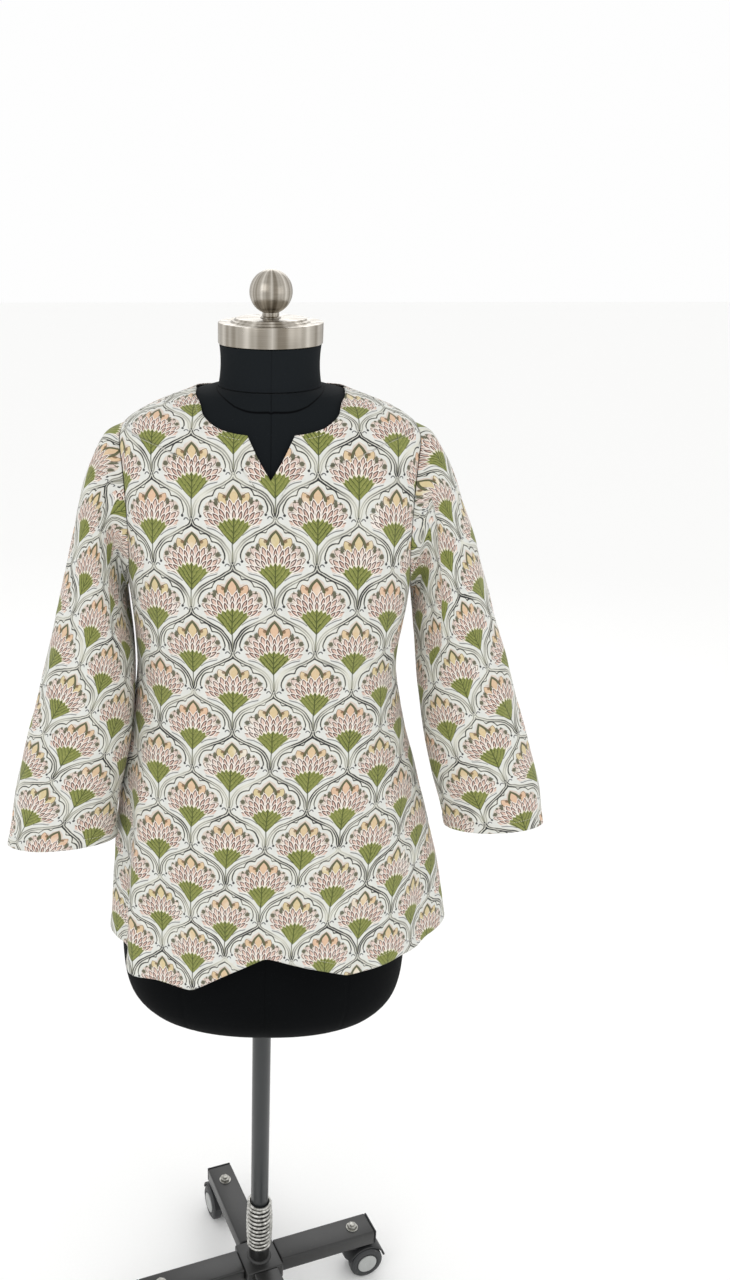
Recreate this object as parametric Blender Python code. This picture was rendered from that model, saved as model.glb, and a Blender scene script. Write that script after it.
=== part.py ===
"""A short A-line tunic on a limbless dress form, standing on a cross base with castors.

Metres, +Z up, floor at z = 0. The form faces -Y. Angles round the body run from the side seam at +X (0)
through the centre front (90) and the side seam at -X (180) to the centre back (270).
"""

import math
from collections import namedtuple

import bmesh
import bpy
from mathutils import Matrix, Vector

MM = 0.001

# The form's axis, set so that the two cuffs reach equally far from X = 0
AXIS_X = -11.25 * MM

# Cloth
CLOTH = 1.2 * MM
REST_GAP = 1.8 * MM
SEAM_GAP = 0.34 * MM
FIT_GAP = 0.3 * MM
# How far a sleeve's edge stands off its armhole, a little more than a fit as both edges are curved
SLEEVE_GAP = 0.4 * MM

# Heights of the tunic's landmarks
UNDERARM_Z = 1.131
SHOULDER_TIP_Z = 1.311
NECK_POINT_Z = 1.3485

# The armhole is an ellipse in the chart of angle and height
ARMHOLE_FRONT_DEG = 25.0
ARMHOLE_BACK_DEG = 22.0
# Steps down each side of an armhole, the same on the panels and on the sleeves so that their edges match
ARMHOLE_STEPS = 10

# Widest step between two columns of a panel, in degrees
COLUMN_STEP_DEG = 10.0
SKIRT_ROWS = 12
SHOULDER_ROWS = 4
SLEEVE_COLUMNS = 2 * ARMHOLE_STEPS
# Rows of mesh down each span of a sleeve between two of its sections
SLEEVE_ROWS = (1, 1, 1, 2, 1, 1, 1, 1)
# Steps used to measure the slope of the cloth and of a sleeve, for their normals
SLOPE_DEG = 0.4
SLOPE_RISE = 0.4 * MM
SLEEVE_SLOPE_DEG = 1.5
SLEEVE_SLOPE = 0.05

# Horizontal sections of the form: half width, front and back depth, and the exponent of the superellipse
FormRing = namedtuple("FormRing", "z half front back square")
FORM_RINGS = (
    FormRing(0.5490, 0.122, 0.072, 0.070, 2.3),
    FormRing(0.5530, 0.142, 0.088, 0.086, 2.3),
    FormRing(0.5640, 0.160, 0.104, 0.102, 2.3),
    FormRing(0.5880, 0.175, 0.116, 0.114, 2.3),
    FormRing(0.6300, 0.181, 0.121, 0.119, 2.3),
    FormRing(0.7000, 0.180, 0.123, 0.121, 2.3),
    FormRing(0.7800, 0.174, 0.119, 0.118, 2.2),
    FormRing(0.8600, 0.157, 0.106, 0.104, 2.2),
    FormRing(0.9200, 0.137, 0.094, 0.089, 2.2),
    FormRing(0.9650, 0.127, 0.090, 0.080, 2.2),
    FormRing(1.0100, 0.130, 0.096, 0.082, 2.2),
    FormRing(1.0600, 0.138, 0.111, 0.090, 2.3),
    FormRing(1.1100, 0.147, 0.125, 0.098, 2.4),
    FormRing(1.1500, 0.152, 0.122, 0.103, 2.5),
    FormRing(1.2000, 0.158, 0.109, 0.106, 2.6),
    FormRing(1.2500, 0.163, 0.093, 0.104, 2.6),
    FormRing(1.2800, 0.1655, 0.084, 0.099, 2.6),
    FormRing(1.3000, 0.1640, 0.080, 0.092, 2.5),
    FormRing(1.3100, 0.1590, 0.078, 0.087, 2.4),
    FormRing(1.3190, 0.1480, 0.075, 0.082, 2.3),
    FormRing(1.3270, 0.1340, 0.072, 0.078, 2.2),
    FormRing(1.3350, 0.1160, 0.068, 0.074, 2.1),
    FormRing(1.3420, 0.0980, 0.065, 0.070, 2.0),
    FormRing(1.3480, 0.0810, 0.062, 0.066, 2.0),
    FormRing(1.3535, 0.0600, 0.059, 0.060, 2.0),
)

# Horizontal sections of the tunic's inside, up to the chest; above that the cloth lies on the form
DrapeRing = namedtuple("DrapeRing", "z right left front back square")
CHEST_RINGS = (
    DrapeRing(0.6400, 0.231, 0.192, 0.152, 0.146, 2.1),
    DrapeRing(0.7000, 0.222, 0.188, 0.149, 0.141, 2.1),
    DrapeRing(0.7600, 0.212, 0.184, 0.145, 0.136, 2.1),
    DrapeRing(0.8340, 0.195, 0.178, 0.139, 0.129, 2.1),
    DrapeRing(0.8880, 0.181, 0.172, 0.134, 0.121, 2.2),
    DrapeRing(0.9460, 0.165, 0.162, 0.129, 0.112, 2.2),
    DrapeRing(1.0060, 0.152, 0.152, 0.127, 0.104, 2.3),
    DrapeRing(1.0460, 0.148, 0.149, 0.128, 0.101, 2.3),
    DrapeRing(1.1110, 0.156, 0.153, 0.130, 0.103, 2.5),
    DrapeRing(1.1700, 0.161, 0.160, 0.123, 0.107, 2.6),
    DrapeRing(1.2300, 0.1655, 0.1655, 0.104, 0.109, 2.6),
)
SHOULDER_RINGS = tuple(
    DrapeRing(ring.z, ring.half, ring.half, ring.front, ring.back, ring.square)
    for ring in FORM_RINGS
    if ring.z >= 1.2800
)
DRAPE_RINGS = CHEST_RINGS + SHOULDER_RINGS

# The hem's corners, round the body
HemCorner = namedtuple("HemCorner", "angle z")
HEM_CORNERS = (
    HemCorner(0, 0.700),
    HemCorner(34, 0.690),
    HemCorner(46, 0.695),
    HemCorner(66, 0.686),
    HemCorner(90, 0.716),
    HemCorner(116, 0.661),
    HemCorner(141, 0.663),
    HemCorner(160, 0.668),
    HemCorner(180, 0.674),
    HemCorner(206, 0.667),
    HemCorner(242, 0.664),
    HemCorner(270, 0.714),
    HemCorner(296, 0.682),
    HemCorner(330, 0.696),
    HemCorner(360, 0.700),
)

# The neckline: a round neck with a narrow V notch at the centre front
NeckPoint = namedtuple("NeckPoint", "angle z")
NECKLINE = (
    NeckPoint(0, NECK_POINT_Z),
    NeckPoint(20, 1.3475),
    NeckPoint(40, 1.3430),
    NeckPoint(50, 1.3385),
    NeckPoint(58, 1.3335),
    NeckPoint(66, 1.3270),
    NeckPoint(72, 1.3210),
    NeckPoint(78, 1.3165),
    NeckPoint(84, 1.3135),
    NeckPoint(90, 1.2680),
    NeckPoint(96, 1.3135),
    NeckPoint(102, 1.3165),
    NeckPoint(108, 1.3210),
    NeckPoint(114, 1.3270),
    NeckPoint(122, 1.3335),
    NeckPoint(130, 1.3385),
    NeckPoint(140, 1.3430),
    NeckPoint(160, 1.3475),
    NeckPoint(180, NECK_POINT_Z),
    NeckPoint(225, 1.3445),
    NeckPoint(270, 1.3405),
    NeckPoint(315, 1.3445),
    NeckPoint(360, NECK_POINT_Z),
)

# The notch's two corners and its tip, which a column of the mesh has to meet
NOTCH_ANGLES = (84, 90, 96)

# Soft vertical folds that grow from their top down to the hem: outward where the depth is positive
Fold = namedtuple("Fold", "angle width depth top")
FOLDS = (
    Fold(12, 9, 0.005, 0.95),
    Fold(29, 8, -0.005, 0.95),
    Fold(52, 10, 0.004, 0.90),
    Fold(104, 10, -0.003, 0.90),
    Fold(141, 7, 0.016, 1.04),
    Fold(157, 7, -0.009, 1.02),
    Fold(172, 6, 0.003, 0.95),
    Fold(206, 9, 0.007, 1.00),
    Fold(228, 8, -0.007, 0.98),
    Fold(250, 9, 0.007, 0.98),
    Fold(290, 9, 0.007, 0.98),
    Fold(312, 8, -0.007, 0.98),
    Fold(336, 9, 0.007, 1.00),
)

# Sections of a sleeve that fan out from the armhole: the points nearest to and furthest from the body,
# the section's centre and half depth front to back, and how much its front edge is raised
SleeveRing = namedtuple("SleeveRing", "inner_x inner_z outer_x outer_z y depth rise")
RIGHT_SLEEVE = (
    SleeveRing(0.1655, 1.1200, 0.1830, 1.2985, 0.001, 0.0535, 0.0),
    SleeveRing(0.1680, 1.0980, 0.2050, 1.2560, -0.004, 0.0570, 0.0),
    SleeveRing(0.1720, 1.0600, 0.2290, 1.1930, -0.012, 0.0590, 0.0),
    SleeveRing(0.1770, 1.0120, 0.2520, 1.1200, -0.019, 0.0590, 0.001),
    SleeveRing(0.1860, 0.9550, 0.2780, 1.0400, -0.025, 0.0565, 0.002),
    SleeveRing(0.1990, 0.8980, 0.3050, 0.9560, -0.030, 0.0520, 0.004),
    SleeveRing(0.2110, 0.8590, 0.3260, 0.8880, -0.033, 0.0470, 0.006),
    SleeveRing(0.2175, 0.8300, 0.3355, 0.8370, -0.034, 0.0430, 0.008),
)
LEFT_SLEEVE = (
    SleeveRing(0.1620, 1.1200, 0.1830, 1.2985, 0.001, 0.0535, 0.0),
    SleeveRing(0.1590, 1.0980, 0.2030, 1.2570, -0.012, 0.0570, 0.0),
    SleeveRing(0.1550, 1.0600, 0.2180, 1.1950, -0.028, 0.0590, 0.0),
    SleeveRing(0.1560, 1.0120, 0.2370, 1.1180, -0.037, 0.0590, 0.001),
    SleeveRing(0.1610, 0.9550, 0.2580, 1.0340, -0.042, 0.0565, 0.002),
    SleeveRing(0.1710, 0.9000, 0.2830, 0.9440, -0.045, 0.0520, 0.004),
    SleeveRing(0.1770, 0.8620, 0.3000, 0.8770, -0.046, 0.0470, 0.006),
    SleeveRing(0.1800, 0.8190, 0.3130, 0.8070, -0.046, 0.0430, 0.008),
)

# Neck, cap and knob of the form
NECK_RADIUS = 55.0 * MM
NECK_WAIST_RADIUS = 53.5 * MM
NECK_FOOT_RADIUS = 56.5 * MM
CAP_BOTTOM_Z = 1.3985
CAP_TOP_Z = 1.4205
CAP_RADIUS = 56.5 * MM
CAP_LIP = 1.5 * MM
DISC_RADIUS = 38.0 * MM
DISC_SLOPE = 5.0 * MM
DISC_RISE = 4.0 * MM
KNOB_RADIUS = 23.0 * MM
KNOB_Z = 1.4515
KNOB_STEM_RADIUS = 9.0 * MM
KNOB_STEPS = 8

# Pole, spring and socket
POLE_RADIUS = 12.5 * MM
POLE_PLUG = 60.0 * MM
SOCKET_RADIUS = 14.6 * MM
SOCKET_TOP_Z = 0.106
SPRING_TOP_Z = 0.206
SPRING_WIRE = 1.9 * MM
SPRING_END_RADIUS = 15.6 * MM
SPRING_MID_RADIUS = 17.2 * MM
SPRING_TURNS = 11
SPRING_STEPS = 10

# Cross base
BAR_TURN_DEG = 20.0
BAR_COUNT = 4
BAR_END = 182.0 * MM
BAR_WIDTH = 38.0 * MM
BAR_BOTTOM_Z = 60.0 * MM
BAR_HEIGHT = 24.0 * MM
BAR_EDGE = 2.5 * MM
HUB_HALF = 28.0 * MM

# Castors: the swivel axis and the axle, as distances along the bar from the form's axis
SWIVEL_REACH = 150.0 * MM
AXLE_REACH = 168.0 * MM
WHEEL_RADIUS = 26.0 * MM
WHEEL_EDGE = 2.5 * MM
WHEEL_INNER = 6.5 * MM
WHEEL_OUTER = 21.5 * MM
WHEEL_CAP = 22.6 * MM
WHEEL_CAP_RADIUS = 14.0 * MM
AXLE_RADIUS = 4.0 * MM
WEB_HALF = 5.0 * MM
WEB_FOOT_RADIUS = 11.0 * MM
WEB_SWEEP_DEG = 200.0
WEB_STEPS = 5
WEB_TOP_AHEAD = 6.0 * MM
WEB_TOP_BEHIND = 7.0 * MM
FENDER_INNER = 27.6 * MM
FENDER_OUTER = 30.6 * MM
FENDER_HALF = 20.0 * MM
FENDER_START_DEG = 12.0
FENDER_SWEEP_DEG = 150.0
FENDER_STEPS = 7
SWIVEL_RADIUS = 15.0 * MM
SWIVEL_THICK = 8.0 * MM

AXIS = Vector((AXIS_X, 0.0, 0.0))
# Corners nearer than this are one corner
WELD = 0.01 * MM


def clear_scene():
    for item in list(bpy.data.objects):
        bpy.data.objects.remove(item, do_unlink=True)


def finish(name, colour, roughness, metallic=0.0):
    """A plain surface material in one colour."""
    material = bpy.data.materials.new(name)
    material.use_nodes = True
    surface = material.node_tree.nodes["Principled BSDF"]
    surface.inputs["Base Color"].default_value = (*colour, 1.0)
    surface.inputs["Roughness"].default_value = roughness
    surface.inputs["Metallic"].default_value = metallic
    return material


def place(name, mesh_data, material, crease_deg=35.0, move=AXIS):
    """Turns a bmesh into an object that stands on the form's axis."""
    mesh = bpy.data.meshes.new(name)
    mesh_data.to_mesh(mesh)
    mesh_data.free()
    mesh.materials.append(material)
    mesh.shade_smooth()
    mesh.set_sharp_from_angle(angle=math.radians(crease_deg))
    item = bpy.data.objects.new(name, mesh)
    item.location = move
    bpy.context.scene.collection.objects.link(item)
    return item


def ramp(value):
    """A smooth step from 0 to 1."""
    value = min(1.0, max(0.0, value))
    return value * value * (3.0 - 2.0 * value)


def curve_value(knots, values, at):
    """A smooth curve through the values, with the slope at each knot set by its two neighbours."""
    at = min(knots[-1], max(knots[0], at))
    last = len(knots) - 1
    index = 0
    while index < last - 1 and at > knots[index + 1]:
        index += 1

    def slope(k):
        low, high = max(0, k - 1), min(last, k + 1)
        return (values[high] - values[low]) / (knots[high] - knots[low])

    span = knots[index + 1] - knots[index]
    t = (at - knots[index]) / span
    start, end = values[index], values[index + 1]
    start_slope, end_slope = slope(index) * span, slope(index + 1) * span
    return (
        start * (2 * t**3 - 3 * t**2 + 1)
        + start_slope * (t**3 - 2 * t**2 + t)
        + end * (3 * t**2 - 2 * t**3)
        + end_slope * (t**3 - t**2)
    )


def line_value(rows, angle):
    """Straight runs between the corners of a table of angle and height."""
    for low, high in zip(rows, rows[1:]):
        if angle <= high.angle:
            share = (angle - low.angle) / (high.angle - low.angle)
            return low.z + share * (high.z - low.z)
    return rows[-1].z


def ring_at(rings, z):
    """The section of a table of rings at a height."""
    knots = [ring.z for ring in rings]
    columns = zip(*[ring[1:] for ring in rings])
    return [curve_value(knots, column, z) for column in columns]


def superellipse(angle, right, left, front, back, square):
    """The point of a section at an angle in degrees."""
    cosine, sine = math.cos(math.radians(angle)), math.sin(math.radians(angle))
    half = right if cosine >= 0 else left
    depth = front if sine >= 0 else back
    x = math.copysign(half * abs(cosine) ** (2.0 / square), cosine)
    y = -math.copysign(depth * abs(sine) ** (2.0 / square), sine)
    return x, y


def form_point(angle, z):
    half, front, back, square = ring_at(FORM_RINGS, z)
    return Vector((*superellipse(angle, half, half, front, back, square), z))


def fold_depth(angle, z):
    """How far the folds push the cloth out at this place."""
    depth = 0.0
    for fold in FOLDS:
        apart = (angle - fold.angle + 180.0) % 360.0 - 180.0
        growth = ramp((fold.top - z) / (fold.top - HEM_CORNERS[0].z))
        depth += fold.depth * growth * math.exp(-((apart / fold.width) ** 2))
    return depth


def drape_point(angle, z):
    """The surface that the cloth's inside follows, folds included."""
    right, left, front, back, square = ring_at(DRAPE_RINGS, z)
    x, y = superellipse(angle, right, left, front, back, square)
    outward = Vector((x / right**2 if x > 0 else x / left**2, y / front**2 if y < 0 else y / back**2, 0.0))
    return Vector((x, y, z)) + outward.normalized() * fold_depth(angle, z)


def cloth_point(angle, z, lift):
    """A point of the cloth, lifted off the surface it follows along that surface's normal."""
    across = drape_point(angle - SLOPE_DEG, z) - drape_point(angle + SLOPE_DEG, z)
    up = drape_point(angle, z + SLOPE_RISE) - drape_point(angle, z - SLOPE_RISE)
    return drape_point(angle, z) + across.cross(up).normalized() * lift


def armhole_chart(turn, middle_angle, width):
    """Angle and height of the armhole's edge; turn runs from 0 at the shoulder tip to 180 at the underarm."""
    middle = (SHOULDER_TIP_Z + UNDERARM_Z) / 2.0
    half = (SHOULDER_TIP_Z - UNDERARM_Z) / 2.0
    angle = middle_angle + width * math.sin(math.radians(turn))
    return angle, middle + half * math.cos(math.radians(turn))


def side_edge(hem_z, seam_angle, width):
    """Angle and height of a panel's side edge, from the hem up: side seam, armhole and shoulder seam."""
    edge = []
    for row in range(SKIRT_ROWS):
        edge.append((seam_angle, hem_z + (UNDERARM_Z - hem_z) * row / SKIRT_ROWS))
    for row in range(ARMHOLE_STEPS):
        edge.append(armhole_chart(180.0 - 180.0 * row / ARMHOLE_STEPS, seam_angle, width))
    for row in range(SHOULDER_ROWS + 1):
        share = row / SHOULDER_ROWS
        edge.append((seam_angle, SHOULDER_TIP_Z + share * (NECK_POINT_Z - SHOULDER_TIP_Z)))
    return edge


def panel_columns(first, last):
    """Angles of a panel's columns: each corner of hem and notch, each fold, and even steps between."""
    marks = {first, last, *NOTCH_ANGLES}
    marks.update(corner.angle for corner in HEM_CORNERS)
    marks.update(fold.angle for fold in FOLDS)
    inside = sorted(mark for mark in marks if first <= mark <= last)
    columns = [first]
    for low, high in zip(inside, inside[1:]):
        steps = math.ceil((high - low) / COLUMN_STEP_DEG)
        columns += [low + (high - low) * (step + 1) / steps for step in range(steps)]
    return columns


def slab_grid(columns, rows):
    """A flat slab with columns along X and rows along Y, its outer face at 0 and its inner one at -1."""
    slab = bmesh.new()
    bmesh.ops.create_grid(slab, x_segments=columns - 1, y_segments=rows - 1, size=1.0)
    for vert in slab.verts:
        vert.co.x = round((vert.co.x + 1.0) / 2.0 * (columns - 1))
        vert.co.y = round((vert.co.y + 1.0) / 2.0 * (rows - 1))
    made = bmesh.ops.extrude_face_region(slab, geom=slab.faces[:], use_keep_orig=True)["geom"]
    inner = [item for item in made if isinstance(item, bmesh.types.BMVert)]
    bmesh.ops.translate(slab, verts=inner, vec=(0, 0, -1))
    bmesh.ops.recalc_face_normals(slab, faces=slab.faces)
    return slab


def panel_mesh(start, end, push):
    """A cut piece of the body: a slab wrapped round the form between its two side edges.

    start and end are the side edges, and push parts the piece from its neighbour.
    """
    first, hem_start = start[0]
    last, hem_end = end[0]
    hem_sum = hem_start + hem_end
    columns = panel_columns(first, last)
    slab = slab_grid(len(columns), len(start))
    for vert in slab.verts:
        hem_angle = columns[round(vert.co.x)]
        row = round(vert.co.y)
        lift = REST_GAP if vert.co.z < -0.5 else REST_GAP + CLOTH
        across = (hem_angle - first) / (last - first)
        low = hem_start + across * (hem_end - hem_start)
        angle = start[row][0] + across * (end[row][0] - start[row][0])
        z = start[row][1] + across * (end[row][1] - start[row][1])
        height = (start[row][1] + end[row][1] - hem_sum) / (2.0 * NECK_POINT_Z - hem_sum)
        z += (1.0 - height) * (line_value(HEM_CORNERS, hem_angle) - low)
        z += height * (line_value(NECKLINE, hem_angle) - NECK_POINT_Z)
        vert.co = cloth_point(angle, z, lift) + Vector((0.0, push, 0.0))
    bmesh.ops.reverse_faces(slab, faces=slab.faces)
    return slab


def make_body_panels(material):
    hem_right = line_value(HEM_CORNERS, 0)
    hem_left = line_value(HEM_CORNERS, 180)
    start = side_edge(hem_right, 0, ARMHOLE_FRONT_DEG)
    end = side_edge(hem_left, 180, -ARMHOLE_FRONT_DEG)
    place("tunic_front", panel_mesh(start, end, -SEAM_GAP / 2), material)
    start = side_edge(hem_left, 180, ARMHOLE_BACK_DEG)
    end = side_edge(hem_right, 360, -ARMHOLE_BACK_DEG)
    place("tunic_back", panel_mesh(start, end, SEAM_GAP / 2), material)


def armhole_point(side, turn):
    """A point of the armhole's outer edge; turn 0 is the shoulder tip, 90 the front and 270 the back."""
    forward = math.sin(math.radians(turn)) >= 0
    width = ARMHOLE_FRONT_DEG if forward else ARMHOLE_BACK_DEG
    if side > 0:
        angle, z = armhole_chart(turn, 0.0, width)
    else:
        angle, z = armhole_chart(turn, 180.0, -width)
    return cloth_point(angle, z, REST_GAP + CLOTH)


def sleeve_section(ring, side, turn):
    """A point of one of the sleeve's sections."""
    cosine, sine = math.cos(math.radians(turn)), math.sin(math.radians(turn))
    x = (ring.outer_x + ring.inner_x) / 2.0 + cosine * (ring.outer_x - ring.inner_x) / 2.0
    z = (ring.outer_z + ring.inner_z) / 2.0 + cosine * (ring.outer_z - ring.inner_z) / 2.0
    return Vector((side * x, ring.y - sine * ring.depth, z + ring.rise * sine))


def sleeve_point(rings, side, turn, along):
    """A point of a sleeve's outer skin; along runs from 0 at the armhole by 1 for each section."""
    points = [armhole_point(side, turn) + Vector((side * SLEEVE_GAP, 0.0, 0.0))]
    points += [sleeve_section(ring, side, turn) for ring in rings]
    knots = list(range(len(points)))
    return Vector([curve_value(knots, [point[axis] for point in points], along) for axis in range(3)])


def sleeve_skin(rings, side, turn, along, depth):
    """A point of a sleeve's wall, sunk below its outer skin."""
    low = max(0.0, along - SLEEVE_SLOPE)
    high = min(float(len(rings)), along + SLEEVE_SLOPE)
    ahead = sleeve_point(rings, side, turn + SLEEVE_SLOPE_DEG, along)
    behind = sleeve_point(rings, side, turn - SLEEVE_SLOPE_DEG, along)
    down = sleeve_point(rings, side, turn, high) - sleeve_point(rings, side, turn, low)
    normal = (ahead - behind).cross(down).normalized() * side
    return sleeve_point(rings, side, turn, along) - normal * depth


def sleeve_mesh(rings, side):
    """A tube with a wall: rows down the outer skin and back up the inner one, closed both ways round."""
    stations = [0.0]
    for section, count in enumerate(SLEEVE_ROWS):
        stations += [section + (part + 1) / count for part in range(count)]
    loop = [(along, 0.0) for along in stations] + [(along, CLOTH) for along in reversed(stations)]
    wall = bmesh.new()
    bmesh.ops.create_grid(wall, x_segments=SLEEVE_COLUMNS, y_segments=len(loop), size=1.0)
    for vert in wall.verts:
        column = round((vert.co.x + 1.0) / 2.0 * SLEEVE_COLUMNS) % SLEEVE_COLUMNS
        row = round((vert.co.y + 1.0) / 2.0 * len(loop)) % len(loop)
        along, depth = loop[row]
        vert.co = sleeve_skin(rings, side, 360.0 * column / SLEEVE_COLUMNS, along, depth)
    bmesh.ops.remove_doubles(wall, verts=wall.verts, dist=WELD)
    if side < 0:
        bmesh.ops.reverse_faces(wall, faces=wall.faces)
    return wall


def make_sleeves(material):
    place("sleeve_right", sleeve_mesh(RIGHT_SLEEVE, 1), material)
    place("sleeve_left", sleeve_mesh(LEFT_SLEEVE, -1), material)


def spun(profile, segments, closed):
    """A skin turned about Z from a profile of radius and height."""
    skin = bmesh.new()
    verts = [skin.verts.new((radius, 0.0, z)) for radius, z in profile]
    ends = verts[1:] + verts[:1] if closed else verts[1:]
    edges = [skin.edges.new(pair) for pair in zip(verts, ends)]
    bmesh.ops.spin(
        skin,
        geom=verts + edges,
        cent=(0, 0, 0),
        axis=(0, 0, 1),
        angle=math.tau,
        steps=segments,
        use_merge=True,
    )
    bmesh.ops.remove_doubles(skin, verts=skin.verts, dist=WELD)
    bmesh.ops.recalc_face_normals(skin, faces=skin.faces)
    return skin


def turned(profile, segments=32):
    """A solid turned about Z from a profile that starts and ends on the axis."""
    return spun(profile, segments, closed=False)


def cylinder(radius, low, high, segments=24):
    return turned([(0.0, low), (radius, low), (radius, high), (0.0, high)], segments)


def tube(inner, outer, low, high, segments=24):
    """A straight tube."""
    return spun([(inner, low), (outer, low), (outer, high), (inner, high)], segments, closed=True)


def cutter(name, mesh_data, move=AXIS):
    """A guide solid for a Boolean, not part of the model."""
    mesh = bpy.data.meshes.new(name)
    mesh_data.to_mesh(mesh)
    mesh_data.free()
    item = bpy.data.objects.new(name, mesh)
    item.location = move
    item.hide_render = True
    item.display_type = "WIRE"
    bpy.context.scene.collection.objects.link(item)
    return item


def combine(item, other, operation):
    change = item.modifiers.new(other.name, "BOOLEAN")
    change.operation = operation
    change.solver = "EXACT"
    change.object = other


def make_torso(material, columns=32):
    """The torso, lofted through its sections, with a blind socket for the pole in its underside."""
    heights = [ring.z for ring in FORM_RINGS]
    torso = bmesh.new()
    bmesh.ops.create_grid(torso, x_segments=columns, y_segments=len(heights) - 1, size=1.0)
    for vert in torso.verts:
        column = round((vert.co.x + 1.0) / 2.0 * columns) % columns
        row = round((vert.co.y + 1.0) / 2.0 * (len(heights) - 1))
        vert.co = form_point(360.0 * column / columns, heights[row])
    bmesh.ops.remove_doubles(torso, verts=torso.verts, dist=WELD)
    bmesh.ops.holes_fill(torso, edges=[edge for edge in torso.edges if edge.is_boundary], sides=0)
    bmesh.ops.recalc_face_normals(torso, faces=torso.faces)
    item = place("form_torso", torso, material)
    bottom = FORM_RINGS[0].z
    socket = cutter("pole_socket", cylinder(POLE_RADIUS + FIT_GAP, bottom - 10 * MM, bottom + POLE_PLUG))
    combine(item, socket, "DIFFERENCE")


def make_neck(cloth, metal):
    bottom = FORM_RINGS[-1].z + FIT_GAP
    middle = (bottom + CAP_BOTTOM_Z) / 2.0
    neck_top = CAP_BOTTOM_Z - FIT_GAP
    neck = [
        (0, bottom),
        (NECK_FOOT_RADIUS, bottom),
        (NECK_WAIST_RADIUS, middle),
        (NECK_RADIUS, neck_top),
        (0, neck_top),
    ]
    place("form_neck", turned(neck, 36), cloth)

    cap = [
        (0, CAP_BOTTOM_Z),
        (CAP_RADIUS - CAP_LIP, CAP_BOTTOM_Z),
        (CAP_RADIUS, CAP_BOTTOM_Z + CAP_LIP),
        (CAP_RADIUS, CAP_TOP_Z - CAP_LIP),
        (CAP_RADIUS - CAP_LIP, CAP_TOP_Z),
        (DISC_RADIUS + DISC_SLOPE, CAP_TOP_Z),
        (DISC_RADIUS, CAP_TOP_Z + DISC_RISE),
        (0, CAP_TOP_Z + DISC_RISE),
    ]
    place("neck_cap", turned(cap, 36), metal)

    foot = CAP_TOP_Z + DISC_RISE + FIT_GAP
    start = math.asin(KNOB_STEM_RADIUS / KNOB_RADIUS)
    knob = [(0, foot), (KNOB_STEM_RADIUS, foot)]
    for step in range(KNOB_STEPS + 1):
        angle = start + (math.pi - start) * step / KNOB_STEPS
        knob.append((max(0.0, KNOB_RADIUS * math.sin(angle)), KNOB_Z - KNOB_RADIUS * math.cos(angle)))
    place("cap_knob", turned(knob, 20), metal)


def spring_path():
    """The coil's centre line: flat at both ends and widest at mid height."""
    low = SOCKET_TOP_Z + FIT_GAP + SPRING_WIRE
    high = SPRING_TOP_Z - SPRING_WIRE
    count = SPRING_TURNS * SPRING_STEPS
    points = []
    for step in range(count + 1):
        share = step / count
        rise = min(1.0, max(0.0, (share * SPRING_TURNS - 0.5) / (SPRING_TURNS - 1.0)))
        radius = SPRING_END_RADIUS + (SPRING_MID_RADIUS - SPRING_END_RADIUS) * math.sin(math.pi * rise)
        angle = math.tau * share * SPRING_TURNS
        points.append((radius * math.cos(angle), radius * math.sin(angle), low + (high - low) * rise))
    return points


def make_spring(material):
    """The coil spring round the pole's foot, as a wire along its centre line."""
    curve = bpy.data.curves.new("pole_spring", "CURVE")
    curve.dimensions = "3D"
    curve.bevel_depth = SPRING_WIRE
    curve.bevel_resolution = 1
    curve.use_fill_caps = True
    path = spring_path()
    spline = curve.splines.new("POLY")
    spline.points.add(len(path) - 1)
    for point, place_at in zip(spline.points, path):
        point.co = (*place_at, 1.0)
    curve.materials.append(material)
    item = bpy.data.objects.new("pole_spring", curve)
    item.location = AXIS
    bpy.context.scene.collection.objects.link(item)


def make_stand(pole_paint, base_paint, steel):
    hub_top = BAR_BOTTOM_Z + BAR_HEIGHT
    foot = hub_top + FIT_GAP
    top = FORM_RINGS[0].z + POLE_PLUG - FIT_GAP
    place("pole", cylinder(POLE_RADIUS, foot, top), pole_paint)
    place("socket_tube", tube(POLE_RADIUS + FIT_GAP, SOCKET_RADIUS, foot, SOCKET_TOP_Z), base_paint)
    make_spring(steel)

    turn = Matrix.Rotation(math.radians(BAR_TURN_DEG), 4, "Z")
    hub = bmesh.new()
    bmesh.ops.create_cube(hub, size=1.0)
    bmesh.ops.scale(hub, verts=hub.verts, vec=(2 * HUB_HALF, 2 * HUB_HALF, BAR_HEIGHT))
    bmesh.ops.translate(hub, verts=hub.verts, vec=(0, 0, BAR_BOTTOM_Z + BAR_HEIGHT / 2))
    bmesh.ops.transform(hub, matrix=turn, verts=hub.verts)
    place("base_hub", hub, base_paint)

    for index in range(BAR_COUNT):
        make_bar(index, base_paint)


def bar_frame(index):
    """Turns a shape built along +X to lie along a bar."""
    return Matrix.Rotation(math.radians(BAR_TURN_DEG + 360.0 * index / BAR_COUNT), 4, "Z")


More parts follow.
